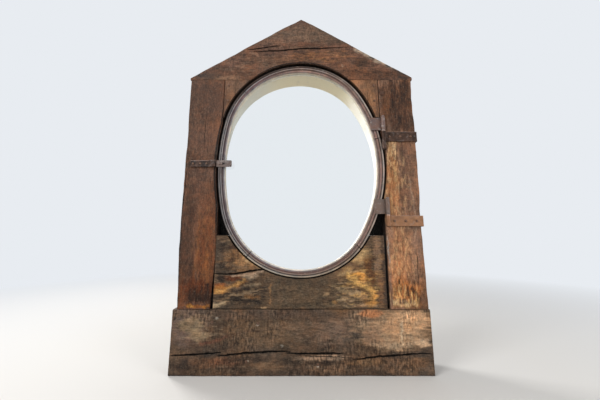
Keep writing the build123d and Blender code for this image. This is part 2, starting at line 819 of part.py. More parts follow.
# Latch: a strap on the left post whose end stands off the wood, and a slotted bar that slides behind it
with BuildPart() as keep_strap:
    with BuildSketch(Plane.XY.offset(latch_level - latch_strap_width / 2)):
        with BuildLine():
            Polyline(
                (keep_strap_end, room_face),
                (keep_crank - strap_thickness, room_face),
                (keep_crank, keep_lip_back),
                (keep_lip_end, keep_lip_back),
                (keep_lip_end, keep_lip_front),
                (keep_crank - strap_thickness, keep_lip_front),
                (keep_crank - strap_thickness - keep_crank_run, strap_front),
                (keep_strap_end, strap_front),
                close=True,
            )
        make_face()
    extrude(amount=latch_strap_width)
    add(
        face_holes(keep_nail_places, nail_radius, strap_front, strap_thickness),
        mode=Mode.SUBTRACT,
    )
keep_strap.part.label = "keep_strap"
export_step(keep_strap.part, "parts/keep_strap.step")

with BuildPart() as latch_bar:
    with BuildSketch(Plane.XZ.offset(-latch_bar_front - latch_bar_thickness)):
        with Locations(((latch_nose + latch_tail) / 2, latch_level)):
            RectangleRounded(latch_bar_length, latch_bar_width, strap_thickness)
        with Locations(((slot_low + slot_high) / 2, latch_level)):
            SlotCenterToCenter(slot_high - slot_low, 2 * slot_radius, mode=Mode.SUBTRACT)
    extrude(amount=latch_bar_thickness)
    tail_turn = latch_bar_thickness + latch_tail_height
    with BuildSketch(Plane.XZ.offset(-latch_bar_front - latch_bar_thickness)):
        with Locations((latch_tail - strap_thickness / 2, latch_level)):
            Rectangle(strap_thickness, latch_bar_width - 2 * strap_thickness)
    extrude(amount=tail_turn)
latch_bar.part.label = "latch_bar"
export_step(latch_bar.part, "parts/latch_bar.step")

with BuildPart() as latch_studs:
    shank_front = latch_bar_front - latch_running_gap
    add(face_holes(stud_places, stud_radius, shank_front, sash_front + stud_depth - shank_front))
    with BuildSketch(Plane.XZ.offset(-shank_front)):
        with Locations(*stud_places):
            Circle(stud_head_radius)
    extrude(amount=stud_head_height)
latch_studs.part.label = "latch_studs"
export_step(latch_studs.part, "parts/latch_studs.step")
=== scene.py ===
import math

import bpy
import numpy as np
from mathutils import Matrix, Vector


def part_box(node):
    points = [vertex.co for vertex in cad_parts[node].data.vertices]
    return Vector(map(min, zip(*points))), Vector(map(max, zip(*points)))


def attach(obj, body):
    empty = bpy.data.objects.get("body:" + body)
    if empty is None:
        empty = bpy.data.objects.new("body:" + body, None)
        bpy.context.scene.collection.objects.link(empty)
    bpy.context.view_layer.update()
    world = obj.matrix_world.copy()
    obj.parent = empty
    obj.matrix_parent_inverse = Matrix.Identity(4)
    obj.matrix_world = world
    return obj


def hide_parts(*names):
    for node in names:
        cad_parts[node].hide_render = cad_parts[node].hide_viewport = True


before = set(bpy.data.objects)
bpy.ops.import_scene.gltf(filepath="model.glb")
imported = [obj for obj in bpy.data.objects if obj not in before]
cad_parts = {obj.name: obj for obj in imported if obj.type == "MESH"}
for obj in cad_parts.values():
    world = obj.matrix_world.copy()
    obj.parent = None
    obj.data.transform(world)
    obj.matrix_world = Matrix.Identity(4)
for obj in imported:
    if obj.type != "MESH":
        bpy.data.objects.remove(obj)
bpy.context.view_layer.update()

# The looks of an oval dormer window: old oak timbers, a moulded oval sash, one pane and wrought iron.
# Metres, in the frame of the solids: +X right and +Z up as seen from the room, +Y to the weather side.

MM = 0.001

# Levels and places read from the solids
room_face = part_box("sill_beam")[0].y
weather_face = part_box("sill_beam")[1].y
sill_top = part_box("sill_beam")[1].z
sill_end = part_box("sill_beam")[1].x
head_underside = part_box("head_beam")[0].z
head_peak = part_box("head_beam")[1].z
post_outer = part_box("right_post")[1].x

# The two ovals: six tangent arcs each, the left half fuller than the right half
sash_half_width = 324.5 * MM
sash_half_height = 426.0 * MM
sash_middle = 752.0 * MM
opening_half_width = 332.0 * MM
opening_half_height = 434.5 * MM
opening_middle = 757.5 * MM
left_end_shortfall = 12.5 * MM
right_end_shortfall = 40.5 * MM
scoop_depth = 16.0 * MM
post_inner = opening_half_width - scoop_depth
rail_open_joint = 9.0 * MM
rail_right_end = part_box("right_post")[0].x - rail_open_joint

# How far the looks keep inside the faces of the solids
inside = 0.2 * MM

# The darkest value of the tones on wood and iron
darkest = 0.002


def shade(red, green, blue):
    """A colour written as on a screen, 0 to 255, turned to the linear value that shaders use."""
    screen = np.array([red, green, blue]) / 255
    return np.where(screen <= 0.04045, screen / 12.92, ((screen + 0.055) / 1.055) ** 2.4)


def lively(kind, change):
    """A colour at each place, lighter or darker by the change there."""
    return shade(*kind) * (1 + change)[..., None]


def over(colour, tone, mask):
    """A colour moved towards a tone by the mask at each place."""
    return colour + (tone - colour) * mask[..., None]


def grid(*fields):
    """Places from one field a coordinate, each field a number or a function of one or both parameters."""
    return np.stack(np.broadcast_arrays(*fields), axis=-1)


# Noise

# Large odd numbers that scatter neighbouring places
place_keys = np.array([374761393, 668265263, 974711])
seed_key = 69069
mixing_key = 1274126177


def lattice_noise(places, seed):
    """Smooth noise from -1 to 1: a hashed number at each whole place, blended between by 3t^2 - 2t^3."""
    cell = np.floor(places).astype(np.int64)
    part = places - cell
    part = part * part * (3 - 2 * part)
    total = np.zeros(places.shape[:-1])
    for corner in range(8):
        step = np.array([corner & 1, (corner >> 1) & 1, (corner >> 2) & 1])
        key = (cell + step) @ place_keys + seed * seed_key
        key = (key ^ (key >> 13)) * mixing_key
        value = ((key ^ (key >> 16)) & 0xFFFF) / 32767.5 - 1
        total += np.prod(np.where(step == 1, part, 1 - part), axis=-1) * value
    return total


def fractal(places, seed, octaves=4):
    """Lattice noise added up at doubling scales and halving heights."""
    total = np.zeros(places.shape[:-1])
    for k in range(octaves):
        total += lattice_noise(places * 2**k, seed + 31 * k) / 2**k
    return total / (2 - 2.0 ** (1 - octaves))


def smooth(value):
    """An S-curve from 0 to 1 as value goes from 0 to 1."""
    held = np.clip(value, 0, 1)
    return held * held * (3 - 2 * held)


# Meshes

# An edge sharper than this, in degrees, isn't smoothed over
sharp_angle = 35.0


def surface(name, points, faces, tone):
    """A mesh object from an array of points, its faces and the colour at each point."""
    mesh = bpy.data.meshes.new(name)
    mesh.from_pydata(points.tolist(), [], faces)
    mesh.polygons.foreach_set("use_smooth", np.ones(len(mesh.polygons), bool))
    mesh.set_sharp_from_angle(angle=math.radians(sharp_angle))
    layer = mesh.color_attributes.new("tone", "FLOAT_COLOR", "POINT")
    opaque = np.column_stack([tone, np.ones(len(tone))])
    layer.data.foreach_set("color", opaque.astype(np.float32).ravel())
    mesh.validate()
    made = bpy.data.objects.new(name, mesh)
    bpy.context.scene.collection.objects.link(made)
    return made


def loft_faces(stations, around, start=0, closed_path=False, flip=False):
    """Quads of a tube of sections: stations along it, each with around points in a closed loop.

    An open path gets a face at each end. Flip turns every face over."""
    spans = stations if closed_path else stations - 1
    i, j = np.meshgrid(np.arange(spans), np.arange(around), indexing="ij")
    a = i * around + j
    b = ((i + 1) % stations) * around + j
    c = ((i + 1) % stations) * around + (j + 1) % around
    d = i * around + (j + 1) % around
    order = [a, d, c, b] if flip else [a, b, c, d]
    quads = (np.stack(order, -1).reshape(-1, 4) + start).tolist()
    if not closed_path:
        first = list(range(start, start + around))
        last = [start + (stations - 1) * around + k for k in range(around)]
        quads += [first[::-1], last] if flip else [first, last[::-1]]
    return quads


def oval_arcs(half_width, half_height, left_end, right_end):
    """Six tangent arcs, anticlockwise from the bottom: centre x, centre z, radius, first and last angle.

    Each half has an end arc of its own radius below and above, and a side arc that touches both of them."""
    arcs = []
    quarter = math.pi / 2
    for turn, end in ((0.0, right_end), (math.pi, left_end)):
        side = (half_width**2 + half_height**2 - 2 * half_height * end) / (2 * (half_width - end))
        reach, rise = side - half_width, half_height - end
        meet = math.atan2(rise, reach)
        sign = math.cos(turn)
        arcs.append((0.0, -sign * rise, end, turn - quarter, turn - meet))
        arcs.append((-sign * reach, 0.0, side, turn - meet, turn + meet))
        arcs.append((0.0, sign * rise, end, turn + meet, turn + quarter))
    return arcs


def oval_path(half_width, half_height, middle, step):
    """Places along the oval, about a step apart: centre x, centre z, radius and outward angle at each."""
    growth = (half_height - sash_half_height) - (half_width - sash_half_width)
    left_end = half_width - left_end_shortfall + growth
    right_end = half_width - right_end_shortfall + growth
    rows = []
    for centre_x, centre_z, radius, first, last in oval_arcs(half_width, half_height, left_end, right_end):
        count = max(2, round(radius * (last - first) / step))
        angle = np.linspace(first, last, count, endpoint=False)
        arc = np.tile([centre_x, middle + centre_z, radius], (count, 1))
        rows.append(np.column_stack([arc, angle]))
    return np.vstack(rows).T


opening = oval_path(opening_half_width, opening_half_height, opening_middle, 1.0 * MM)
opening_x = opening[0] + opening[2] * np.cos(opening[3])
opening_z = opening[1] + opening[2] * np.sin(opening[3])
upper_half = opening_z >= opening_middle
right_half = opening_x >= 0


def opening_edge(level, side):
    """X of the opening's edge at a level, on the right or the left side."""
    half = right_half if side > 0 else ~right_half
    order = np.argsort(opening_z[half])
    return np.interp(level, opening_z[half][order], opening_x[half][order])


def opening_level(across, top):
    """Z of the opening's edge at an X, over or under its middle."""
    half = upper_half if top else ~upper_half
    order = np.argsort(opening_x[half])
    return np.interp(across, opening_x[half][order], opening_z[half][order])


# How far a crack strays from its line
crack_wander = 2.6 * MM


def crack_line(stations, points, width, seed):
    """The crack's middle at each station, and its half width there, which is nothing at both ends."""
    along, across = np.array(points).T * MM
    middle = np.interp(stations, along, across)
    wander = grid(stations * 45, 0, 0.5)
    middle = middle + fractal(wander, seed) * crack_wander
    run = (stations - along[0]) / (along[-1] - along[0])
    shape = np.sqrt(np.clip(4 * run * (1 - run), 0, 1))
    rough = 1 + 0.45 * fractal(wander * 2.5, seed + 7)
    return middle, width * MM / 2 * shape * rough


# How far the hewn faces stray inwards by long swells and fine ribs, and how far the worn arrises reach
swell_depth = 1.6 * MM
edge_swell = 1.2 * MM
rib_depth = 0.9 * MM
arris_reach = 7 * MM

# How thick the skin is that moves with them, behind the faces and behind the edges
skin = 2.5 * MM
edge_skin = 2.0 * MM

# Spacing of the rows on a timber's sides, and the least half width that a crack's rows keep
side_row = 6 * MM
hairline = 0.25 * MM


def timber(
    name,
    grain,
    stations,
    low,
    high,
    paint,
    cracks=(),
    front=room_face,
    back=weather_face,
    arris=3.0,
    wear=3.0,
    row=2.4,
    seed=1,
    hollow=0,
    painted_shade_rim=2.2,
):
    """A hewn beam as one closed surface of two parameters: station along the grain and place round it.

    Each section is a rectangle between the low and high edge with rounded arrises. Every point is pushed
    inwards by noise stretched along the grain, more at the arrises. The rows of the room face are drawn
    together at each crack, where they sink to its depth, and the crack is painted near black: painted
    shade in the crack. The edge named by hollow, -1 low or 1 high, faces the oval opening. Its faces behind
    its arris and a rim of the room face along it are painted near black: painted shade in the gap round
    the oval. Arris, wear, row and painted shade rim are in millimetres."""
    count = len(stations)
    radius = arris * MM
    rows = max(6, round(float(np.max(high - low)) / (row * MM)))
    sides = max(4, round((back - front) / side_row))

    def spread(share):
        """Places across the section between its rounded arrises."""
        return (low + radius)[:, None] + share * (high - low - 2 * radius)[:, None]

    face = spread(np.linspace(0, 1, rows))
    lines = [crack_line(stations, *crack[:2], seed + 11 * k) for k, crack in enumerate(cracks)]
    for middle, half in lines:
        for place in (-1.0, -0.55, 0.0, 0.55, 1.0):
            line = middle + place * np.maximum(half, hairline)
            line = np.clip(line, low + radius * 1.05, high - radius * 1.05)
            face = np.concatenate([face, line[:, None]], axis=1)
    face = np.sort(face, axis=1)
    turn = np.radians([22.5, 45.0, 67.5])
    bend, drop = radius * (1 - np.sin(turn)), radius * (1 - np.cos(turn))
    side_y = np.linspace(front + radius, back - radius, sides)
    back_rows = max(4, rows // 2)
    low_edge, high_edge = low[:, None], high[:, None]
    across = np.concatenate(
        [
            face,
            high_edge - bend,
            np.repeat(high_edge, sides, axis=1),
            high_edge - bend[::-1],
            spread(np.linspace(1, 0, back_rows)),
            low_edge + bend,
            np.repeat(low_edge, sides, axis=1),
            low_edge + bend[::-1],
        ],
        axis=1,
    )
    level = np.concatenate(
        [
            np.full(face.shape[1], front),
            front + drop,
            side_y,
            back - drop[::-1],
            np.full(back_rows, back),
            back - drop,
            side_y[::-1],
            front + drop[::-1],
        ]
    )
    along, across, level = np.broadcast_arrays(stations[:, None], across, level)
    stretched = grid(along * 3.5, across * 30, level * 30)
    swell = 0.5 + 0.5 * fractal(stretched * 0.45, seed)
    ribs = 0.5 + 0.5 * fractal(stretched * 2.4, seed + 3, 3)
    from_low, from_high = across - low_edge, high_edge - across
    from_edge = np.minimum(from_low, from_high)
    worn = np.exp(-((level - front) / arris_reach)) * np.exp(-from_edge / arris_reach)
    bites = np.clip(fractal(grid(along * 14, across * 8, level * 8), seed + 5) + 0.15, 0, 1)
    bite = worn * bites * wear * MM
    on_front = np.exp(-np.clip(level - front, 0, 1) / skin)
    on_back = np.exp(-np.clip(back - level, 0, 1) / skin)
    on_low, on_high = np.exp(-from_low / edge_skin), np.exp(-from_high / edge_skin)
    new_level = level + (swell * swell_depth + ribs * rib_depth + 2 * bite) * (on_front - on_back)
    new_across = across + (swell * edge_swell + bite + 0.1 * MM) * (on_low - on_high)
    # Painted shade: how dark the cracks and the edge round the oval are painted, down to near black
    dark = np.zeros_like(level)
    for (middle, half), crack in zip(lines, cracks):
        away = np.abs(across - middle[:, None]) / np.maximum(half, hairline)[:, None]
        sink = smooth(1.15 - away) * (half > 0.1 * MM)[:, None]
        new_level += sink * on_front * crack[2] * MM * np.clip(half / (0.5 * MM), 0, 1)[:, None]
        # Painted shade in the crack: near black over it and just round it
        dark = np.maximum(dark, smooth(1.9 - away) * on_front * np.clip(half / (0.4 * MM), 0, 1)[:, None])
    order = (along, new_level, new_across) if grain == "x" else (new_across, new_level, along)
    points = grid(*order).reshape(-1, 3)
    tone = stained(points, paint, grain, seed)
    # Painted shade round the oval: its faces behind the arris and a rim of the room face along it go near
    # black
    if hollow:
        from_oval = from_high if hollow > 0 else from_low
        behind = smooth((level - front - (2.0 + 1.5 * swell) * MM) / (4 * MM)) * (from_oval < 2.0 * MM)
        wide = np.reshape(painted_shade_rim, (-1, 1)) + 3.2 * (swell - 0.5)
        rim = smooth((wide - from_oval / MM) / 1.6) * on_front
        dark = np.maximum(dark, np.maximum(behind, rim))
    tone *= 1 - 0.93 * dark.reshape(-1, 1)
    return surface(name, points, loft_faces(count, across.shape[1], flip=grain == "z"), tone)


def line_distance(points, line):
    """How far each point lies from a run of straight pieces drawn on the room face, in X and Z."""
    flat = points[:, [0, 2]]
    nearest = np.full(len(points), np.inf)
    for first, last in zip(line, line[1:]):
        first, last = np.array(first) * MM, np.array(last) * MM
        run = last - first
        share = np.clip((flat - first) @ run / (run @ run), 0, 1)
        nearest = np.minimum(nearest, np.hypot(*(flat - first - share[:, None] * run).T))
    return nearest


# The grey of weathered oak
weathered = (122, 112, 102)

# How far noise frays the edge of a stain or a stroke, in half widths, and how softly that edge fades
stain_fray, stain_feather = 1.2, 0.9
stroke_fray, stroke_feather = 1.5, 1.5


def stained(points, paint, grain, seed):
    """Colour at each point: the patchy ground, greyer to the weather, then each stain and stroke over it.

    A stain fades from its middle and a stroke from its line. Noise stretched along the grain frays both,
    and the places themselves wander by a few millimetres. A stain of negative strength is broken into
    threads."""
    ground, stains, strokes = paint
    turned = 1 if grain == "x" else -1
    stretch = np.array([9.0, 40.0, 60.0])[::turned]
    wander = np.array([9.0, 0.0, 2.5])[::turned] * MM
    drift = fractal(points * stretch, seed + 40)
    broad = fractal(points * 9.0, seed + 41, 3)
    fray = 0.5 * drift + 0.35 * fractal(points * stretch * 3.2, seed + 42, 3)
    patches = 1 + 0.3 * drift + 0.75 * broad + 0.35 * fractal(points * 26.0, seed + 45, 3)
    hue = fractal(points * 14.0, seed + 46, 3)[:, None] * np.array([0.22, 0.0, -0.3])
    colour = shade(*ground) * np.clip(patches, 0.35, 2)[:, None] * (1 + hue)
    depth = (points[:, 1] - room_face) / (weather_face - room_face)
    colour = over(colour, lively(weathered, 0.25 * drift), smooth((depth - 0.55) / 0.45))
    near = smooth(1.4 - depth * 4)
    moved = points + fractal(points * stretch * 1.6, seed + 43)[:, None] * wander
    moved += fractal(points * 60.0, seed + 44, 3)[:, None] * wander[::-1] * 0.8
    marks = []
    for kind, x, z, wide, tall, strength in stains:
        away = np.hypot((moved[:, 0] - x * MM) / (wide * MM), (moved[:, 2] - z * MM) / (tall * MM))
        marks.append((kind, away + fray * stain_fray, strength, stain_feather))
    for kind, line, wide, strength in strokes:
        away = line_distance(moved, line) / (wide * MM)
        marks.append((kind, away + fray * stroke_fray, strength, stroke_feather))
    for k, (kind, away, strength, feather) in enumerate(marks):
        mask = abs(strength) * smooth((1.45 - away) / feather) * near
        if strength < 0:
            threads = fractal(points * stretch * np.where(stretch < 10, 5.0, 3.2), seed + 60 + k, 3)
            mask *= smooth((threads - 0.02) / 0.28)
        colour = over(colour, lively(kind, 0.22 * drift), mask)
    return np.clip(colour, darkest, 1)


# Stain colours that have a name
soot = (26, 22, 20)
mauve = (112, 92, 84)
pale = (168, 156, 140)

# Places along a timber's grain, at which its section is worked out
station_step = 2.4 * MM


def stations_from(low, high):
    """Stations a step apart from low to high."""
    return np.linspace(low, high, max(4, round((high - low) / station_step)))


# Timbers

# Places are in millimetres on the room face. A stain is a colour, its middle in X and Z, its half width,
# half height and strength. A stroke is a colour, a line of places in X and Z, its half width and strength.
# A crack is a line of places along and across the grain, its width and its depth.

beam = stations_from(-sill_end, sill_end)
sill_ground = (86, 68, 53)
sill_stains = [
    (mauve, -400, 150, 60, 60, 0.5),
    ((134, 112, 84), -385, 165, 36, 26, 0.8),
    ((140, 118, 90), -362, 128, 30, 22, 0.8),
    ((84, 66, 54), -120, 200, 300, 14, 0.6),
    ((104, 84, 64), -120, 135, 110, 44, 0.55),
    ((92, 72, 56), 30, 120, 60, 40, 0.5),
    ((120, 96, 80), 110, 150, 70, 40, 0.5),
    ((168, 136, 104), 320, 150, 130, 56, 0.85),
    ((172, 112, 72), 250, 202, 34, 12, 0.85),
    ((190, 148, 110), 390, 182, 74, 34, 0.92),
    ((184, 142, 104), 330, 156, 60, 24, 0.75),
    ((196, 164, 132), 430, 106, 34, 12, 0.8),
    ((134, 104, 82), 250, 130, 40, 30, 0.6),
    ((176, 148, 118), 330, 100, 70, 10, 0.6),
    ((74, 58, 46), 0, 30, 470, 34, 0.5),
    ((130, 100, 74), -120, 34, 60, 14, 0.6),
    ((56, 44, 34), -20, 46, 70, 16, 0.6),
    ((126, 96, 72), 90, 24, 60, 12, 0.6),
    ((54, 42, 33), 190, 30, 60, 18, 0.6),
    ((122, 94, 72), 330, 22, 50, 10, 0.5),
    ((60, 46, 36), -210, 30, 40, 20, 0.6),
    ((128, 104, 84), 60, 150, 180, 44, -0.35),
    ((58, 46, 37), -60, 140, 360, 60, -0.35),
    ((144, 122, 98), -360, 150, 80, 50, -0.35),
    ((204, 172, 142), 370, 160, 80, 40, -0.15),
    ((126, 94, 70), 300, 130, 110, 60, -0.2),
    ((48, 37, 30), 0, 30, 440, 26, -0.5),
    ((118, 96, 76), 0, 34, 440, 26, -0.35),
    ((112, 88, 68), -40, 160, 70, 18, 0.5),
    ((72, 56, 44), 70, 190, 60, 14, 0.6),
    ((106, 74, 52), -330, 40, 44, 16, 0.55),
    ((104, 68, 48), -264, 46, 40, 12, 0.55),
    ((104, 78, 58), 250, 46, 110, 22, 0.5),
    ((116, 84, 58), 395, 40, 50, 22, 0.55),
    ((56, 44, 36), -409, 46, 14, 10, 0.9),
    ((70, 56, 46), -300, 88, 130, 10, 0.4),
    ((150, 124, 102), 60, 58, 76, 8, 0.8),
    ((50, 38, 29), 66, 40, 34, 8, 0.75),
    ((112, 84, 58), 220, 46, 60, 12, 0.6),
    ((44, 33, 27), -404, 24, 40, 14, 0.7),
    ((56, 42, 33), -170, 56, 70, 8, 0.7),
    (soot, -452, 185, 6, 7, 0.9),
    (pale, 55, 30, 5, 3, 0.9),
    (pale, -151, 168, 5, 3, 0.9),
    (pale, -189, 46, 5, 3, 0.8),
    (pale, -300, 187, 5, 4, 0.6),
    (pale, -70, 98, 5, 4, 0.6),
]
sill_strokes = [
    ((92, 56, 42), [(-352, 104), (-318, 106), (-290, 116), (-262, 128)], 8, 0.75),
    ((82, 60, 48), [(-262, 128), (-200, 142), (-140, 148)], 5, 0.4),
    ((64, 50, 40), [(-440, 88), (-330, 92), (-240, 96)], 6, 0.4),
    ((60, 46, 38), [(30, 92), (140, 96), (260, 90)], 5, 0.35),
    ((206, 182, 150), [(350, 104), (354, 172)], 5, 0.6),
    ((196, 160, 124), [(376, 120), (378, 190)], 3, 0.3),
    ((126, 98, 76), [(316, 120), (318, 180)], 4, 0.35),
]
sill_cracks = [
    ([(-454, 66), (-365, 69), (-278, 76)], 4.8, 24),
    ([(-292, 65), (-212, 72), (-115, 79), (-39, 80)], 5.4, 24),
    ([(-56, 74), (40, 72), (151, 74)], 5.0, 24),
    ([(175, 53), (272, 63), (411, 73), (452, 74)], 4.8, 24),
    ([(-10, 66), (120, 62), (200, 57)], 1.2, 6),
]
sill = timber(
    "sill_beam_aged",
    "x",
    beam,
    np.full_like(beam, 0.1 * MM),
    sill_top - inside - np.clip(fractal(grid(beam * 6, 0, 0), 5), 0, 1) * MM,
    (sill_ground, sill_stains, sill_strokes),
    sill_cracks,
    arris=5.0,
    row=2.6,
    seed=3,
)

rail_run = stations_from(-post_inner, rail_right_end)
rail_ground = (78, 62, 47)
rail_stains = [
    ((76, 62, 50), -300, 400, 24, 70, 0.85),
    ((130, 94, 61), -206, 392, 70, 44, 0.97),
    ((96, 66, 43), -228, 406, 13, 20, 0.8),
    ((54, 40, 30), -296, 440, 14, 18, 0.85),
    ((56, 38, 27), -262, 434, 20, 9, 0.85),
    ((52, 36, 26), -254, 390, 14, 22, 0.85),
    ((60, 44, 34), -262, 358, 30, 9, 0.7),
    ((66, 48, 36), -216, 424, 14, 10, 0.7),
    ((150, 112, 76), -214, 386, 22, 22, 0.6),
    ((78, 40, 18), -244, 327, 38, 14, 0.95),
    ((124, 68, 30), -290, 302, 30, 7, 0.75),
    ((30, 20, 15), -292, 324, 15, 14, 0.9),
    ((36, 24, 18), -236, 306, 10, 8, 0.8),
    ((160, 102, 42), -290, 288, 24, 13, 0.9),
    ((64, 50, 38), -180, 300, 56, 28, 0.75),
    ((38, 29, 22), -262, 257, 62, 12, 0.85),
    ((50, 40, 31), -180, 262, 56, 30, 0.75),
    ((79, 64, 48), 10, 280, 130, 60, 0.8),
    ((70, 58, 44), 60, 236, 130, 12, 0.6),
    ((168, 126, 78), 215, 300, 52, 62, 0.75),
    ((166, 134, 92), 214, 404, 38, 34, 0.95),
    ((150, 116, 74), 168, 352, 26, 16, 0.85),
    ((88, 58, 32), 244, 372, 20, 34, 0.9),
    ((200, 138, 62), 204, 328, 30, 20, 0.95),
    ((214, 164, 88), 190, 330, 12, 8, 0.8),
    ((98, 60, 32), 250, 320, 18, 24, 0.85),
    ((150, 104, 58), 225, 268, 24, 26, 0.6),
    ((124, 104, 82), 180, 262, 52, 30, 0.55),
    ((128, 100, 78), 280, 400, 15, 80, 0.8),
    ((56, 42, 34), 301, 390, 6, 100, 0.8),
    ((110, 78, 54), 284, 290, 18, 60, 0.8),
    ((58, 44, 36), 300, 260, 7, 40, 0.8),
    ((172, 140, 106), 236, 231, 38, 5, 0.7),
    ((150, 112, 66), 120, 240, 12, 8, 0.6),
    ((40, 30, 23), -292, 402, 26, 70, -0.85),
    ((152, 116, 78), -205, 398, 70, 60, -0.3),
    ((146, 118, 88), -216, 270, 84, 40, -0.4),
    ((30, 23, 19), -210, 272, 96, 46, -0.85),
    ((210, 166, 102), 212, 300, 66, 74, -0.65),
    ((66, 46, 32), 200, 296, 80, 84, -0.65),
    ((176, 148, 112), 150, 270, 60, 46, -0.55),
    ((58, 46, 37), 0, 270, 150, 60, -0.4),
    ((104, 86, 66), 30, 260, 150, 60, -0.3),
    ((132, 98, 64), 284, 340, 24, 130, -0.5),
]
rail_strokes = [
    ((166, 134, 96), [(-222, 414), (-196, 386), (-158, 366), (-138, 360)], 8, 0.75),
    ((128, 104, 80), [(-296, 452), (-272, 460), (-250, 468)], 6, 0.6),
    ((96, 78, 60), [(-282, 380), (-240, 366), (-196, 358)], 6, 0.6),
    ((164, 136, 112), [(-250, 335), (-210, 336), (-176, 340), (-140, 348)], 6, 0.85),
    ((154, 134, 112), [(-204, 332), (-184, 326), (-168, 332)], 11, 0.75),
    ((132, 86, 40), [(-318, 282), (-290, 286), (-262, 292), (-232, 300), (-206, 314)], 13, 0.85),
    ((192, 144, 84), [(-306, 276), (-276, 284), (-259, 291), (-234, 303), (-207, 317)], 9, 0.75),
    ((100, 86, 72), [(-262, 286), (-238, 290), (-210, 288)], 6, 0.6),
    ((36, 28, 23), [(-252, 278), (-226, 282), (-190, 284)], 8, 0.85),
    ((140, 118, 92), [(-256, 268), (-226, 270), (-196, 274), (-160, 280)], 4, 0.55),
    ((150, 130, 104), [(-206, 296), (-180, 302), (-150, 300)], 6, 0.5),
    ((176, 150, 116), [(-318, 228), (-296, 234), (-276, 238)], 9, 0.8),
    ((140, 112, 84), [(-318, 248), (-284, 250)], 5, 0.5),
    ((120, 82, 46), [(-200, 262), (-180, 256), (-150, 258)], 7, 0.5),
    ((140, 104, 68), [(-112, 236), (-112, 300)], 4, 0.6),
    ((190, 160, 122), [(-140, 221), (-126, 222)], 4, 0.7),
    ((56, 46, 38), [(-150, 262), (-128, 290), (-124, 320)], 8, 0.45),
    ((166, 136, 98), [(140, 340), (170, 348), (206, 352)], 8, 0.7),
    ((204, 156, 88), [(172, 322), (194, 308), (222, 296), (244, 288), (258, 276), (262, 258)], 12, 0.9),
    ((186, 130, 66), [(262, 262), (258, 246), (246, 234)], 15, 0.8),
    ((214, 170, 100), [(168, 342), (184, 326), (204, 318)], 6, 0.7),
    ((180, 128, 64), [(206, 336), (228, 330), (240, 320)], 10, 0.7),
    ((72, 46, 30), [(160, 300), (190, 298), (214, 284), (232, 272)], 7, 0.7),
    ((84, 54, 32), [(214, 312), (240, 302), (262, 298)], 7, 0.65),
    ((150, 126, 94), [(130, 286), (172, 276), (214, 266)], 6, 0.5),
    ((150, 122, 88), [(140, 252), (190, 250), (236, 258)], 5, 0.5),
    ((58, 46, 38), [(128, 272), (170, 264), (206, 248)], 6, 0.5),
    ((150, 118, 80), [(128, 318), (150, 316), (176, 310)], 5, 0.5),
    ((64, 50, 40), [(-110, 330), (-60, 312), (-20, 306)], 6, 0.35),
    ((60, 46, 38), [(196, 242), (226, 240), (244, 246)], 4, 0.5),
    ((76, 48, 28), [(262, 392), (246, 366), (262, 336), (262, 310)], 11, 0.85),
    ((72, 46, 28), [(266, 366), (226, 370)], 5, 0.8),
    ((72, 46, 28), [(266, 344), (216, 348)], 4, 0.8),
    ((88, 56, 30), [(262, 314), (228, 318), (206, 324)], 5, 0.7),
]
rail_cracks = [
    ([(-318, 339), (-270, 339), (-222, 343), (-184, 350), (-128, 357)], 4.8, 24),
    ([(-290, 246), (-240, 248), (-190, 246)], 0.9, 4),
    ([(180, 244), (220, 246), (262, 250)], 0.9, 4),
]
rail_crown = np.where(
    np.abs(rail_run) < opening_half_width,
    np.minimum(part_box("lower_rail")[1].z, opening_level(rail_run, False)),
    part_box("lower_rail")[1].z,
)
rail = timber(
    "lower_rail_aged",
    "x",
    rail_run,
    np.full_like(rail_run, sill_top + 0.3 * MM),
    rail_crown - inside,
    (rail_ground, rail_stains, rail_strokes),
    rail_cracks,
    back=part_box("lower_rail")[1].y,
    arris=2.5,
    wear=2.4,
    row=2.2,
    seed=9,
    hollow=1,
)

head_run = stations_from(-sill_end, sill_end)
head_noise = grid(head_run * 9, 0, 1)
head_slope = (head_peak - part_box("head_beam")[0].z - 14 * MM) / sill_end
head_top = head_peak - np.abs(head_run) * head_slope - 5 * MM * np.clip(fractal(head_noise, 12) + 0.1, 0, 1)
head_arch = np.where(np.abs(head_run) < opening_half_width, opening_level(head_run, True), head_underside)
head_arch = np.maximum(head_underside, head_arch)
head_ground = (93, 65, 50)
head_stains = [
    ((75, 59, 48), -370, 1130, 70, 20, 0.7),
    ((78, 52, 36), -300, 1150, 70, 24, 0.5),
    ((101, 73, 53), -130, 1200, 110, 30, 0.45),
    ((81, 59, 45), -200, 1210, 60, 26, 0.4),
    ((99, 64, 42), 60, 1225, 90, 16, 0.5),
    ((104, 73, 52), 150, 1240, 90, 16, 0.5),
    ((86, 62, 45), 20, 1205, 110, 9, 0.5),
    ((93, 75, 61), 0, 1330, 220, 44, 0.75),
    ((87, 67, 53), -120, 1290, 90, 14, 0.6),
    ((80, 62, 50), 110, 1290, 90, 14, 0.5),
    ((62, 42, 30), 250, 1196, 34, 20, 0.85),
    ((128, 88, 64), 160, 1222, 36, 14, 0.6),
    ((122, 84, 60), -60, 1218, 60, 12, 0.5),
    ((66, 48, 38), -232, 1190, 44, 18, 0.6),
    ((126, 96, 74), -300, 1120, 50, 16, 0.6),
    ((52, 36, 27), 265, 1194, 17, 12, 0.85),
    ((75, 54, 41), 270, 1200, 40, 20, 0.5),
    ((129, 105, 84), 177, 1180, 5, 4, 0.8),
    ((56, 44, 38), -410, 1137, 24, 9, 0.85),
    ((88, 57, 39), 330, 1145, 90, 22, 0.55),
    ((80, 54, 39), 200, 1150, 50, 16, 0.4),
    ((132, 104, 84), -190, 1190, 150, 60, -0.35),
    ((136, 92, 60), 110, 1225, 150, 40, -0.5),
    ((58, 40, 30), -40, 1230, 330, 70, -0.5),
    ((60, 42, 31), 300, 1160, 120, 40, -0.5),
    ((122, 98, 80), 0, 1320, 160, 50, -0.4),
]
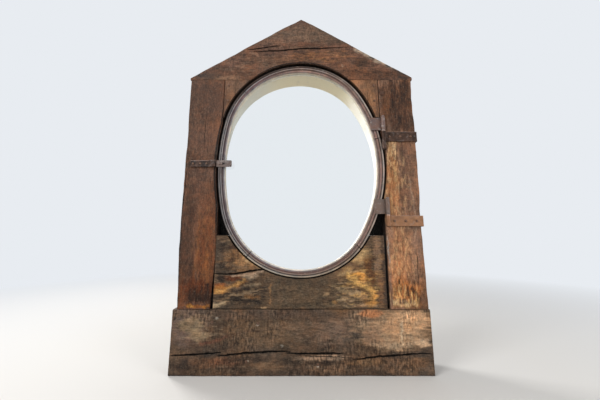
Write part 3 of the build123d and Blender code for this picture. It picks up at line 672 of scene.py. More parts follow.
head_strokes = [
    ((92, 74, 60), [(40, 1370), (140, 1316), (232, 1266)], 6, 0.5),
    ((162, 144, 124), [(232, 1260), (300, 1222), (372, 1182), (424, 1154)], 13, 0.9),
    ((34, 28, 25), [(352, 1184), (372, 1176)], 5, 0.9),
    ((32, 26, 24), [(384, 1166), (404, 1152), (430, 1140)], 7, 0.9),
    ((36, 29, 26), [(410, 1130), (438, 1124)], 6, 0.8),
    ((40, 32, 28), [(288, 1222), (304, 1212)], 4, 0.8),
    ((70, 54, 43), [(-230, 1266), (-78, 1340), (-8, 1384)], 5, 0.5),
    ((134, 104, 84), [(-216, 1242), (-180, 1228)], 5, 0.5),
    ((62, 44, 34), [(-150, 1232), (-120, 1220), (-84, 1226)], 6, 0.5),
    ((136, 96, 62), [(40, 1236), (60, 1210), (92, 1216)], 5, 0.5),
    ((130, 94, 66), [(120, 1240), (146, 1226), (196, 1228)], 5, 0.5),
    ((150, 118, 96), [(170, 1186), (178, 1178)], 4, 0.8),
]
head_cracks = [
    ([(-230, 1256), (-150, 1268), (-86, 1276)], 3.4, 20),
    ([(-204, 1248), (-98, 1252), (-1, 1262), (88, 1262), (205, 1271)], 4.4, 22),
]
head = timber(
    "head_beam_aged",
    "x",
    head_run,
    head_arch + inside,
    np.maximum(head_top, head_arch + 9 * MM),
    (head_ground, head_stains, head_strokes),
    head_cracks,
    wear=2.2,
    row=2.8,
    seed=17,
    hollow=-1,
    # A painted shade rim along the arch, widest over its middle
    painted_shade_rim=1.0 + 5.0 * np.exp(-((head_run / 0.2) ** 8)),
)

post_run = stations_from(sill_top, head_underside)
post_noise = grid(0, 0, post_run * 7)
taper = np.clip(1 - (post_run - sill_top) / (190 * MM), 0, 1)
left_inner = np.maximum(post_inner + 11 * MM * taper, np.abs(opening_edge(post_run, -1)))
left_outer = post_outer - 10 * MM * taper - 2.5 * MM * np.clip(fractal(post_noise, 21) + 0.2, 0, 1)
left_ground = (91, 62, 46)
left_stains = [
    ((76, 55, 43), -440, 960, 30, 130, 0.6),
    ((81, 58, 46), -360, 1040, 44, 60, 0.5),
    ((68, 50, 38), -386, 930, 12, 14, 0.6),
    ((98, 70, 56), -400, 860, 40, 60, 0.4),
    ((94, 66, 52), -410, 640, 60, 120, 0.5),
    ((106, 66, 44), -360, 560, 40, 80, 0.7),
    ((104, 60, 34), -356, 430, 38, 120, 0.85),
    ((112, 66, 35), -348, 350, 26, 50, 0.75),
    ((66, 44, 32), -424, 470, 26, 210, 0.75),
    ((92, 60, 40), -436, 300, 14, 60, 0.6),
    ((84, 41, 17), -374, 292, 60, 30, 0.88),
    ((50, 27, 13), -370, 262, 58, 22, 0.8),
    ((34, 19, 12), -354, 254, 34, 13, 0.7),
    ((92, 52, 28), -430, 250, 16, 34, 0.7),
    ((124, 72, 28), -372, 228, 50, 6, 0.85),
    ((170, 118, 52), -392, 227, 14, 4, 0.7),
    ((160, 106, 46), -346, 227, 14, 4, 0.6),
    ((116, 106, 100), -332, 815, 9, 34, 0.7),
    ((122, 92, 72), -400, 780, 60, 280, -0.25),
    ((64, 45, 36), -392, 760, 66, 320, -0.3),
    ((134, 90, 54), -358, 440, 44, 150, -0.3),
    ((56, 36, 26), -384, 380, 66, 150, -0.35),
]
left_strokes = [
    ((40, 32, 28), [(-455, 745), (-453, 600), (-450, 470), (-447, 300), (-444, 222)], 3.5, 0.8),
    ((38, 22, 15), [(-402, 250), (-400, 282)], 5, 0.8),
    ((40, 24, 16), [(-384, 254), (-380, 296)], 5, 0.8),
    ((36, 22, 15), [(-362, 256), (-360, 302)], 6, 0.8),
    ((34, 20, 14), [(-342, 252), (-338, 306)], 6, 0.85),
    ((134, 84, 46), [(-346, 420), (-350, 360), (-344, 312)], 6, 0.5),
    ((124, 80, 46), [(-386, 560), (-384, 450), (-388, 350)], 6, 0.3),
    ((84, 55, 40), [(-372, 620), (-376, 520), (-370, 420)], 4, 0.4),
    ((78, 56, 44), [(-400, 936), (-384, 928), (-372, 934)], 5, 0.6),
]
left_cracks = [
    ([(560, -452), (660, -448), (730, -446)], 1.6, 8),
    ([(820, -382), (900, -384), (980, -380)], 0.9, 4),
]
left_post = timber(
    "left_post_aged",
    "z",
    post_run,
    -left_outer,
    -left_inner - inside,
    (left_ground, left_stains, left_strokes),
    left_cracks,
    seed=23,
    hollow=1,
    # A painted shade rim along the oval, widest about 720 mm up
    painted_shade_rim=1.0 + 9.0 * np.exp(-(((post_run - 0.72) / 0.25) ** 8)),
)

right_inner = np.maximum(post_inner, opening_edge(post_run, 1))
right_outer = post_outer - inside - 4.5 * MM * np.clip(fractal(post_noise, 29) + 0.2, 0, 1)
right_ground = (120, 88, 68)
right_stains = [
    ((53, 31, 19), 385, 1010, 80, 120, 0.94),
    ((98, 62, 38), 348, 990, 18, 70, 0.7),
    ((54, 38, 30), 330, 1068, 12, 12, 0.8),
    ((60, 38, 26), 395, 930, 60, 44, 0.85),
    ((96, 64, 44), 352, 1060, 16, 30, 0.6),
    ((156, 106, 66), 352, 700, 26, 150, 0.8),
    ((90, 64, 50), 410, 800, 30, 60, 0.7),
    ((104, 76, 60), 412, 700, 28, 110, 0.7),
    ((84, 60, 46), 372, 812, 12, 26, 0.6),
    ((158, 108, 72), 350, 560, 26, 80, 0.7),
    ((116, 84, 66), 420, 560, 20, 90, 0.5),
    ((158, 108, 74), 372, 400, 56, 100, 0.85),
    ((168, 112, 72), 350, 330, 26, 50, 0.75),
    ((136, 106, 84), 412, 400, 18, 90, 0.5),
    ((120, 100, 72), 338, 398, 12, 9, 0.6),
    ((96, 66, 48), 400, 290, 26, 30, 0.6),
    ((160, 98, 48), 372, 280, 54, 32, 0.8),
    ((122, 80, 48), 378, 232, 54, 12, 0.7),
    ((220, 172, 110), 370, 262, 56, 34, -0.75),
    ((46, 29, 18), 380, 278, 52, 40, -0.9),
    ((216, 182, 134), 366, 236, 56, 12, -0.6),
    ((70, 48, 34), 384, 236, 44, 20, -0.6),
    ((200, 160, 116), 366, 620, 50, 200, -0.5),
    ((214, 178, 134), 356, 800, 34, 70, -0.6),
    ((78, 54, 38), 390, 700, 46, 190, -0.4),
    ((196, 150, 106), 366, 390, 54, 110, -0.5),
    ((92, 60, 40), 388, 380, 46, 110, -0.35),
    ((108, 74, 51), 372, 1000, 70, 120, -0.35),
    ((34, 22, 16), 390, 1000, 70, 120, -0.7),
    ((60, 46, 38), 336, 866, 12, 30, 0.5),
    ((166, 158, 148), 322, 420, 4, 60, 0.6),
]
right_strokes = [
    ((196, 156, 108), [(348, 836), (352, 790)], 5, 0.5),
    ((190, 148, 100), [(362, 760), (366, 690)], 5, 0.6),
    ((182, 138, 92), [(344, 640), (348, 560)], 5, 0.5),
    ((74, 50, 38), [(390, 860), (396, 780)], 6, 0.5),
    ((70, 48, 36), [(384, 660), (388, 580)], 5, 0.4),
    ((216, 180, 130), [(328, 250), (340, 236), (358, 230), (372, 236)], 6, 0.45),
    ((208, 170, 120), [(376, 232), (394, 238), (410, 232)], 5, 0.35),
    ((84, 60, 46), [(404, 1040), (408, 960)], 4, 0.4),
    ((172, 150, 126), [(420, 700), (428, 560), (424, 470)], 4, 0.35),
]
right_cracks = [
    ([(300, 424), (360, 426), (420, 424)], 1.0, 5),
    ([(960, 372), (1010, 374), (1060, 372)], 0.9, 4),
]
right_post = timber(
    "right_post_aged",
    "z",
    post_run,
    right_inner + inside,
    right_outer,
    (right_ground, right_stains, right_strokes),
    right_cracks,
    seed=31,
    hollow=-1,
)

board_paints = {
    "left_spandrel": (
        (108, 80, 62),
        [((77, 54, 43), -312, 1040, 8, 70, 0.6), ((120, 85, 60), -280, 1060, 30, 40, 0.5)],
        [((67, 48, 38), [(-310, 1000), (-306, 1090)], 3, 0.5)],
    ),
    "right_spandrel": (
        (126, 90, 65),
        [((87, 61, 45), 308, 1020, 6, 90, 0.7), ((134, 97, 67), 280, 1040, 22, 50, 0.5)],
        [
            ((157, 124, 91), [(286, 1050), (290, 990)], 3, 0.5),
            ((96, 66, 47), [(272, 1090), (282, 1010)], 3, 0.4),
        ],
    ),
    # The corner blocks' near-black ground is painted shade in the voids of the lower corners
    "left_corner_block": ((16, 14, 12), [], []),
    "right_corner_block": ((16, 14, 12), [], []),
}
boards = []
for k, (name, paint) in enumerate(board_paints.items()):
    box_low, box_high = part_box(name)
    side = 1 if box_low.x > 0 else -1
    board_run = stations_from(box_low.z + 0.3 * MM, box_high.z - 0.3 * MM)
    rim = np.abs(opening_edge(board_run, side))
    outer = np.full_like(board_run, max(abs(box_low.x), abs(box_high.x)))
    rim = np.minimum(rim, outer - 6 * MM)
    low_edge, high_edge = (rim, outer) if side > 0 else (-outer, -rim)
    check = side * (outer[0] - 45 * MM) / MM
    checks = [([(1000, check), (1040, check + 1), (1080, check)], 0.8, 3)] if "spandrel" in name else ()
    board = timber(
        f"{name}_aged",
        "z",
        board_run,
        low_edge + inside,
        high_edge - inside,
        paint,
        checks,
        front=box_low.y,
        back=box_high.y,
        arris=1.5,
        wear=1.6,
        row=2.0,
        seed=41 + 5 * k,
        hollow=-side,
        # A painted shade rim along the oval
        painted_shade_rim=5.0,
    )
    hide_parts(name)
    boards.append((board, name))

for piece, name in (
    (sill, "sill_beam"),
    (rail, "lower_rail"),
    (head, "head_beam"),
    (left_post, "left_post"),
    (right_post, "right_post"),
):
    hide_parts(name)

# Oval mouldings


def oval_ring(path, section, first, last, paint, wobble, seed):
    """A closed section of (inset, level) points carried along the oval between two angles.

    Each point lies on its arc's radius less the inset. Noise along the way dents the section's front."""
    chosen = (path[3] >= first) & (path[3] <= last)
    centre_x, centre_z, radius, angle = path[:, chosen][..., None]
    inset, level = np.array(section).T * MM
    inset, level, place = np.broadcast_arrays(inset, level, angle)
    rough = fractal(grid(np.cos(place) * 9, np.sin(place) * 9, inset * 160), seed)
    level = level + np.abs(rough) * wobble * MM * (level < 0.5 * (level.min() + level.max()))
    reach = radius - inset
    points = grid(centre_x + reach * np.cos(place), level, centre_z + reach * np.sin(place))
    tone = paint(inset / MM, level / MM, place, points)
    return points.reshape(-1, 3), tone.reshape(-1, 3), *inset.shape


def twice(path):
    """The path run twice round, so that a stretch may pass the starting angle."""
    again = path.copy()
    again[3] += 2 * math.pi
    return np.concatenate([path, again], axis=1)


sash_path = twice(oval_path(sash_half_width, sash_half_height, sash_middle, 3.0 * MM))
sash_front, sash_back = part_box("sash_left")[0].y / MM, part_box("sash_left")[1].y / MM


def curve(points, count):
    """A closed outline with more points on it: each of its sides is cut into count even parts."""
    share = np.linspace(0, 1, count, endpoint=False)[:, None]
    made = []
    for first, last in zip(points, points[1:] + points[:1]):
        made += (np.array(first) + (np.array(last) - first) * share).tolist()
    return made


def bead(first, last, level, height):
    """A round bead between two insets: half a sine above its level."""
    share = np.linspace(0, 1, 7)
    return [(first + (last - first) * t, level - height * math.sin(math.pi * t)) for t in share]


# How far in from the sash's outer edge the glass rebate starts
rebate = 18.0

# The moulding from its outer edge to the glass: insets, and depths behind the face of the sash
moulding = [(0, 2.2), (0.5, 0.8), (1.6, 0.1), (3.4, 0.1), (4.6, 0.3), (5.0, 2.5), (7.4, 2.5)]
moulding += bead(7.6, 15.0, 1.8, 1.7)
moulding += [(15.2, 2.4), (16.4, 3.9), (18.2, 4.8), (20.9, 5.0), (21.2, 5.9), (22.0, 5.2)]
moulding += [(25.4, 5.2), (26.6, 5.7), (27.0, 6.8), (27.0, 14.0), (rebate, 14.0)]
lap = (sash_front + sash_back) / 2
half_front = [(inset, sash_front + depth) for inset, depth in moulding] + [(rebate, lap), (0.0, lap)]
half_back = curve([(0.0, lap), (rebate, lap), (rebate, sash_back), (0.0, sash_back)], 4)


def sash_paint_and_light(inset, level, place, points):
    """Paint and painted light in stripes round the moulding: grey mauve, bluish white left and red right.

    Each stripe is a bump function of the inset: its middle, half width, colour, strength and where it runs
    round the oval. Dark stripes are painted shade in the grooves and at the outer edge, light ones are
    painted highlights on the edges and the bead. The angle blends the sides' palettes, and light stripes
    are broken up by noise in places."""
    drift = fractal(points * 40.0, 90)
    specks = fractal(points * 170.0, 91, 3)
    east, rise = np.cos(place), np.sin(place)
    left = smooth(0.35 - 1.1 * east - 0.3 * rise)
    right = smooth(1.3 * east - 0.2)
    top = smooth(1.8 * rise - 0.8)
    foot = smooth(-1.8 * rise - 0.6)
    high = left * smooth(1.6 * rise - 0.2)
    side = left * (1 - high)
    colour = over(lively((112, 94, 86), 0.5 * drift), lively((73, 66, 69), 0.5 * drift), 0.9 * left)
    colour = colour * (1 - 0.05 * top)[..., None]
    # Dark stripes: painted shade in the grooves and at the outer edge. Light stripes: painted highlights.
    stripes = [
        (1.2, 2.4, (40, 34, 32), 0.9, 0.3 + 0.7 * (left + top)),
        (3.0, 2.2, (186, 170, 148), 0.9, foot),
        (4.8, 1.5, (176, 172, 170), 0.65, side),
        (3.6, 3.4, (62, 48, 41), 0.75, high + 0.5 * top),
        (3.2, 2.2, (188, 176, 166), 0.8, right * (1 - foot)),
        (8.0, 2.6, (56, 44, 38), 0.9, foot),
        (8.4, 2.0, (34, 29, 28), 0.95, 1.0 - foot),
        (12.0, 1.3, (180, 174, 174), 0.8, left),
        (10.8, 1.8, (186, 168, 158), 0.85, top * (1 - left)),
        (11.8, 1.5, (150, 128, 110), 0.8, foot),
        (16.0, 3.2, (66, 54, 55), 0.85, side),
        (16.4, 2.8, (140, 108, 110), 0.75, high),
        (15.0, 2.6, (66, 50, 47), 0.8, top * (1 - left)),
        (20.2, 2.4, (194, 158, 144), 0.85, top * (1 - left)),
        (13.5, 2.8, (138, 108, 100), 0.8, right * (1 - foot) * (1 - top)),
        (16.4, 3.6, (92, 68, 60), 0.8, foot),
        (20.6, 1.3, (160, 152, 156), 0.7, left),
        (18.6, 1.6, (54, 42, 40), 0.8, right * (1 - foot)),
        (21.8, 2.0, (156, 138, 130), 0.7, right * (1 - foot) * (1 - top)),
        (22.8, 1.2, (40, 34, 34), 0.85, (left + top) * (1 - foot)),
        (25.6, 1.6, (216, 210, 202), 0.8, 0.5 + 0.5 * left + 0.5 * foot - 0.4 * top),
    ]
    for middle, half, kind, strength, where in stripes:
        mask = np.exp(-(((inset - middle) / half) ** 2)) * strength * where
        if kind[0] > 100:
            mask = mask * np.clip(0.9 + 0.7 * drift, 0, 1.1)
        colour = over(colour, shade(*kind), np.clip(mask, 0, 1))
    chips = smooth((specks - 0.45) / 0.12)
    colour = over(colour, shade(176, 166, 150), 0.4 * chips)
    depth = level - sash_front
    # Painted shade: the sash's outer side, down in the gap round it, is darkened by nine tenths
    outside = smooth((depth - 2.5) / 3) * smooth((3.0 - inset) / 2)
    colour = colour * (1 - 0.9 * outside)[..., None]
    cream_lip = smooth((depth - 6.2) / 1.2) * smooth((inset - 15.0) / 2)
    colour = over(colour, lively((214, 204, 184), 0.08 * drift), cream_lip)
    return np.clip(colour, darkest, 1)


# The halved joints of the sash: their angles, half a lap and half a seam, both as turns round the oval
joints = np.radians([9.0, 137.0, 227.0, 318.0])
half_lap = 19.0 * MM / sash_half_height
half_seam = 0.0006
segments = []
for k, name in enumerate(("sash_top", "sash_left", "sash_bottom", "sash_right")):
    first = joints[k] + half_seam
    last = joints[(k + 1) % 4] + (2 * math.pi if k == 3 else 0) - half_seam
    shells = [
        oval_ring(sash_path, section, first + shift, last + shift, sash_paint_and_light, 0.5, 70 + k)
        for section, shift in ((half_front, half_lap), (half_back, -half_lap))
    ]
    points = np.concatenate([shell[0] for shell in shells])
    tone = np.concatenate([shell[1] for shell in shells])
    faces = loft_faces(*shells[0][2:])
    faces += loft_faces(*shells[1][2:], start=len(shells[0][0]))
    segment = surface(f"{name}_moulded", points, faces, tone)
    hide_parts(name)
    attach(segment, "sash")
    segments.append(segment)

# Lining: it flares from the oval behind the sash to a wider one at the weather face
lining_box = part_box("outer_lining")
lining_front, lining_back = lining_box[0].y, lining_box[1].y

# Its wall at the front, and on each side at the weather face
front_wall = 25.5 * MM
left_wall, right_wall, top_wall, bottom_wall = 5.0 * MM, 17.0 * MM, 34.0 * MM, 17.0 * MM
lining_steps = 560


def oval_points(half_width, half_height, left_end, right_end, middle_x, middle_z, inset):
    """The same number of places on every oval, shared out evenly over its six arcs: X, Z and angle."""
    rows = []
    for centre_x, centre_z, radius, first, last in oval_arcs(half_width, half_height, left_end, right_end):
        angle = np.linspace(first, last, lining_steps // 6, endpoint=False)
        reach_x, reach_z = (radius - inset) * np.cos(angle), (radius - inset) * np.sin(angle)
        rows.append(np.column_stack([middle_x + centre_x + reach_x, middle_z + centre_z + reach_z, angle]))
    return np.vstack(rows)


def flared_lining():
    """A ring whose outside is straight and whose inside is ruled between two ovals.

    Along each section the place runs over the front, in along the flare, over the back and home outside."""
    shortfalls = np.array([left_end_shortfall, right_end_shortfall])
    straight = (opening_half_width, opening_half_height, *(opening_half_width - shortfalls + 1 * MM))
    outside = oval_points(*straight, 0, opening_middle, 0.5 * MM)
    narrow = oval_points(*straight, 0, opening_middle, front_wall + 0.3 * MM)
    half_width = opening_half_width - (left_wall + right_wall) / 2
    half_height = opening_half_height - (top_wall + bottom_wall) / 2
    middle_x, middle_z = (left_wall - right_wall) / 2, opening_middle + (bottom_wall - top_wall) / 2
    wide = oval_points(half_width, half_height, *(half_width - shortfalls), middle_x, middle_z, 0)
    section = [(0.0, t) for t in (0.0, 0.45, 0.8)]
    section += [(t, 1.0) for t in np.linspace(0.01, 0.99, 26)]
    section += [(1.0, t) for t in (0.9, 0.5, 0.0)]
    section += [(t, 0.0) for t in np.linspace(0.9, 0.1, 6)]
    run, share = np.array(section).T
    inner = narrow[:, None, :2] + (wide - narrow)[:, None, :2] * run[:, None]
    flat = outside[:, None, :2] + (inner - outside[:, None, :2]) * share[:, None]
    points = grid(flat[..., 0], lining_front + (lining_back - lining_front) * run, flat[..., 1])
    rough = fractal(points * np.array([30.0, 50.0, 30.0]), 80)
    outward = points - np.array([0, 0, opening_middle])
    outward[..., 1] = 0
    outward /= np.linalg.norm(outward, axis=-1, keepdims=True)
    flare = (share > 0.9) & (run > 0) & (run < 1)
    points += outward * (0.5 * MM * np.abs(rough) * flare)[..., None]
    return points, lining_paint_and_light(points, outside[:, 2, None], run), len(flat), len(section)


def lining_paint_and_light(points, angle, run):
    """Old cream paint: tan painted shade at the top, greenish grey painted shade at the top left, and white
    painted sunlight low on the right.
    """
    drift = fractal(points * 22.0, 95)
    fine_dirt = fractal(points * 90.0, 96, 3)
    east, rise = np.cos(angle), np.sin(angle)
    # Painted shade: tan at the top and greenish grey at the left; painted sunlight: white low on the right
    top = smooth((rise - 0.2) / 0.6) * smooth((0.75 + 0.6 * rise - np.abs(east)) / 0.5)
    left = smooth((-east - 0.15) / 0.6)
    bright = smooth((east + 0.1) / 0.5) * smooth((0.55 - rise) / 0.6)
    dirt = smooth((fine_dirt - 0.38) / 0.2) * 0.25
    rim = smooth(1 - run / 0.1) * 0.25
    colour = over(lively((232, 224, 208), 0.05 * drift), shade(214, 198, 158), 0.9 * top)
    colour = over(colour, shade(186, 184, 172), 0.85 * left)
    colour = over(colour, shade(246, 244, 240), 0.9 * bright)
    colour = over(colour, shade(120, 104, 84), np.clip(dirt + rim, 0, 1))
    return np.clip(colour, 0, 1)


points, tone, count, around = flared_lining()
lining_faces = loft_faces(count, around, closed_path=True)
lining = surface("outer_lining_painted", points.reshape(-1, 3), lining_faces, tone.reshape(-1, 3))
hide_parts("outer_lining")

# Forged straps, in millimetres

strap_thickness = 4.0
strap_height = 42.0
strap_return = 38.0
knuckle_radius = 8.0
knuckle_rise = 2.0
knuckle_gap = 1.0
pin_radius = 4.0
forging_step = 1.3
forging_row = 1.6
dent_depth = 0.8
edge_waver = 1.6


def bent_line(corners, radius):
    """A run of straight pieces in plan, with its inner corners rounded, resampled evenly."""
    corners = np.array(corners, float)
    points = [corners[0]]
    for before, corner, after in zip(corners, corners[1:], corners[2:]):
        first = corner + (before - corner) / np.linalg.norm(before - corner) * radius
        last = corner + (after - corner) / np.linalg.norm(after - corner) * radius
        for t in np.linspace(0, 1, 7):
            points.append((1 - t) ** 2 * first + 2 * t * (1 - t) * corner + t**2 * last)
    points = np.array([*points, corners[-1]])
    along = np.concatenate([[0], np.cumsum(np.linalg.norm(np.diff(points, axis=0), axis=1))])
    even = np.linspace(0, along[-1], round(along[-1] / forging_step))
    return np.column_stack([np.interp(even, along, place) for place in points.T])


def forged_tone(points, ground, low, high):
    """Iron's tone: soft patches, a painted highlight under the top edge and painted shade along the foot.
    """
    drift = fractal(points * 90.0, 120)
    level = points[:, 2] / MM
    # Painted highlight under the top edge, painted shade along the foot
    top = smooth((level - high + 2.6 + 1.5 * drift) / 1.2) * 0.65
    foot = smooth((low + 2.2 + 1.2 * drift - level) / 1.6) * 0.75
    colour = lively(ground, 0.35 * drift + 0.25 * fractal(points * 25.0, 121, 3))
    colour = over(colour, shade(176, 150, 136), top)
    colour = over(colour, shade(40, 30, 26), foot)
    return np.clip(colour, darkest, 1)


def forged_knuckle(centre_x, centre_y, outer, bore, low, high, seed):
    """A hinge eye: a tube of revolution about an upright axis, whose outside is dented by noise."""
    wall = [(outer, t) for t in np.linspace(low + 0.8, high - 0.8, round((high - low) / forging_row))]
    wall += [(outer - 0.8, high), (bore, high), (bore, low), (outer - 0.8, low)]
    reach, level = np.array(wall).T
    turn = np.linspace(0, 2 * math.pi, 40, endpoint=False)[:, None]
    hammered = 0.5 + 0.5 * fractal(grid(np.cos(turn), np.sin(turn), level * 0.12) * 1.5, seed)
    reach = reach - 0.7 * hammered * (reach > outer - 0.4)
    tube = grid(centre_x + reach * np.cos(turn), centre_y + reach * np.sin(turn), level)
    return tube.reshape(-1, 3) * MM, tube.shape[:2]


def forged_strap(name, corners, low, high, radius, ground, seed, knuckle=None):
    """A strap swept along its plan: hammered front, edges that waver, rounded arrises and closed ends.

    Its section at each station is a thin upright rectangle, moved along the plan's normal by dents and worn
    inwards at the edges."""
    plan = bent_line(corners, radius)
    heading = np.gradient(plan, axis=0)
    heading /= np.linalg.norm(heading, axis=1, keepdims=True)
    normal = np.column_stack([heading[:, 1], -heading[:, 0]])
    face_z = np.linspace(low + 0.9, high - 0.9, round((high - low) / forging_row))
    back_z = face_z[::-4]
    over_top = [high - 0.25, high, high, high - 0.4]
    under_foot = [low + 0.4, low, low, low + 0.25]
    section_z = np.concatenate([face_z, over_top, back_z, under_foot])
    arris = [0.28, 0.9, strap_thickness - 0.6, strap_thickness]
    back = np.full(len(back_z), strap_thickness)
    offset = np.concatenate([np.zeros(len(face_z)), arris, back, arris[::-1]])
    along = np.arange(len(plan))[:, None] * forging_step
    field = grid(along * 0.05, section_z * 0.08, 0.5)
    dent = 0.5 + 0.5 * fractal(field * 1.6, seed)
    waver = 0.5 + 0.5 * fractal(field * np.array([1.6, 0, 1]), seed + 3)
    shift = offset + dent_depth * dent * (offset < 0.5)
    z = section_z - edge_waver * waver * ((section_z - (low + high) / 2) / (high - low) * 2) ** 5
    front = plan[:, None, :] - normal[:, None, :] * shift[..., None]
    points = grid(front[..., 0], front[..., 1], z).reshape(-1, 3) * MM
    faces = loft_faces(len(plan), len(offset), flip=True)
    if knuckle:
        tube, shape = forged_knuckle(*knuckle, seed + 9)
        faces += loft_faces(*shape, start=len(points), closed_path=True, flip=True)
        points = np.concatenate([points, tube])
    return surface(name, points, faces, forged_tone(points, ground, low, high))


room = room_face / MM
strap_front = room - strap_thickness
hinge_x = 325.0
hinge_y = room - knuckle_gap - knuckle_radius
straps = []
for node, ground, knuckle_height, seed in (
    ("upper_post_strap", (44, 31, 24), 79.0, 130),
    ("lower_post_strap", (136, 98, 70), 45.0, 140),
):
    strap_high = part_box(node)[1]
    outer_x = strap_high.x / MM
    knuckle_top = strap_high.z / MM
    top = knuckle_top - knuckle_rise
    corners = [(hinge_x, strap_front), (outer_x, strap_front), (outer_x, room + strap_return)]
    tube = (hinge_x, hinge_y, knuckle_radius, pin_radius, knuckle_top - knuckle_height, knuckle_top)
    piece = forged_strap(f"{node}_forged", corners, top - strap_height, top, 3.5, ground, seed, tube)
    straps.append((piece, node))

# The keep steps out to its lip between these two distances from its end
keep_step = (28.0, 20.0)
keep_low, keep_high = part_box("keep_strap")
keep_front = keep_low.y / MM
keep_end = keep_high.x / MM
corners = [
    (keep_low.x / MM, strap_front),
    (keep_end - keep_step[0], strap_front),
    (keep_end - keep_step[1], keep_front),
    (keep_end, keep_front),
]
heights = (keep_low.z / MM, keep_high.z / MM)
straps.append((forged_strap("keep_strap_forged", corners, *heights, 2.5, (44, 36, 33), 150), "keep_strap"))
for piece, node in straps:
    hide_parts(node)

# Materials


def new(tree, kind, values=(), **settings):
    """A shader node with its settings, and its inputs set to a value or linked from a socket."""
    made = tree.nodes.new(kind)
    for key, value in settings.items():
        setattr(made, key, value)
    for key, value in dict(values).items():
        if isinstance(value, bpy.types.NodeSocket):
            tree.links.new(value, made.inputs[key])
        else:
            made.inputs[key].default_value = value
    return made


def math_node(tree, operation, *values, clamp=False):
    """One sum of sockets and numbers."""
    return new(tree, "ShaderNodeMath", enumerate(values), operation=operation, use_clamp=clamp).outputs[0]


def weighted(tree, start, *terms):
    """A starting value plus each socket times its weight."""
    for socket, weight in terms:
        start = math_node(tree, "MULTIPLY_ADD", socket, weight, start)
    return start


def ramp(tree, factor, low, high):
    """Factor spread from 0 at low to 1 at high."""
    values = {"Value": factor, "From Min": low, "From Max": high}
    return new(tree, "ShaderNodeMapRange", values, clamp=True).outputs["Result"]


def mix(tree, factor, first, second, blend="MIX"):
    """Two colours, mixed by the factor or put together by another blend."""
    values = {0: factor, 6: first, 7: second}
    return new(tree, "ShaderNodeMix", values, data_type="RGBA", blend_type=blend).outputs[2]


def noise(tree, vector, scale, detail=5.0, rough=0.55, twist=0.0):
    """Blender's own noise, from 0 to 1."""
    values = {"Vector": vector, "Scale": scale, "Detail": detail, "Roughness": rough, "Distortion": twist}
    return new(tree, "ShaderNodeTexNoise", values).outputs["Fac"]


def new_group(name, inputs, outputs):
    """An empty shader group with named inputs and outputs."""
    tree = bpy.data.node_groups.new(name, "ShaderNodeTree")
    for title, kind, value in inputs:
        socket = tree.interface.new_socket(title, in_out="INPUT", socket_type=f"NodeSocket{kind}")
        socket.default_value = value
    for title, kind in outputs:
        tree.interface.new_socket(title, in_out="OUTPUT", socket_type=f"NodeSocket{kind}")
    return tree, tree.nodes.new("NodeGroupInput").outputs, tree.nodes.new("NodeGroupOutput")


def oak_figure():
    """Oak's fibres, bands, pores, saw marks and blotches as a factor on a tone, with dust and a height."""
    tree, given, out = new_group(
        "oak_figure",
        [
            ("Grain Place", "Vector", (0, 0, 0)),
            ("Saw Place", "Vector", (0, 0, 0)),
            ("Place", "Vector", (0, 0, 0)),
            ("Tone", "Color", (0.2, 0.1, 0.05, 1)),
            ("Contrast", "Float", 1.0),
            ("Saw", "Float", 0.4),
            ("Dust", "Float", 0.2),
        ],
        [("Color", "Color"), ("Height", "Float"), ("Roughness", "Float")],
    )
    fibre = noise(tree, given["Grain Place"], 34.0, 8.0, 0.66, 0.35)
    band = noise(tree, given["Grain Place"], 7.0, 4.0, 0.5, 0.6)
    saw = noise(tree, given["Saw Place"], 30.0, 3.0, 0.55)
    blotch = noise(tree, given["Place"], 45.0, 5.0, 0.6)
    pore = noise(tree, given["Grain Place"], 90.0, 3.0, 0.5)
    speck = noise(tree, given["Grain Place"], 60.0, 3.0, 0.6)
    dots = ramp(tree, pore, 0.62, 0.72)
    grit = noise(tree, given["Place"], 170.0, 3.0, 0.6)
    patch = noise(tree, given["Place"], 9.0, 3.0, 0.5)
    figure = weighted(tree, -1.175, (fibre, 1.0), (band, 0.3), (blotch, 0.5), (grit, 0.55))
    figure = math_node(tree, "MULTIPLY", figure, given["Contrast"])
    sawn = math_node(tree, "MULTIPLY", weighted(tree, -0.5, (saw, 1.0)), given["Saw"])
    sawn = math_node(tree, "MULTIPLY", sawn, ramp(tree, patch, 0.42, 0.6))
    factor = weighted(tree, 1.0, (figure, 1.9), (sawn, 1.9), (dots, -0.228))
    factor = math_node(tree, "MAXIMUM", factor, 0.42)
    warm_tone = mix(tree, 1.0, given["Tone"], (1.05, 0.98, 0.92, 1), "MULTIPLY")
    cool_tone = mix(tree, 1.0, given["Tone"], (0.96, 1.0, 1.03, 1), "MULTIPLY")
    hue = mix(tree, ramp(tree, blotch, 0.4, 0.6), cool_tone, warm_tone)
    spread = new(tree, "ShaderNodeCombineXYZ", {0: factor, 1: factor, 2: factor}).outputs[0]
    figured = mix(tree, 1.0, hue, spread, "MULTIPLY")
    film = math_node(tree, "MULTIPLY", ramp(tree, speck, 0.56, 0.7), given["Dust"])
    dusty = mix(tree, film, figured, mix(tree, 0.3, given["Tone"], (0.6, 0.47, 0.34, 1)))
    height = weighted(tree, 0.0, (fibre, 0.8), (blotch, 0.35), (sawn, 0.6), (dots, -0.5))
    rough = weighted(tree, 0.62, (fibre, 0.2))
    for title, socket in (("Color", dusty), ("Height", height), ("Roughness", rough)):
        tree.links.new(socket, out.inputs[title])
    return tree


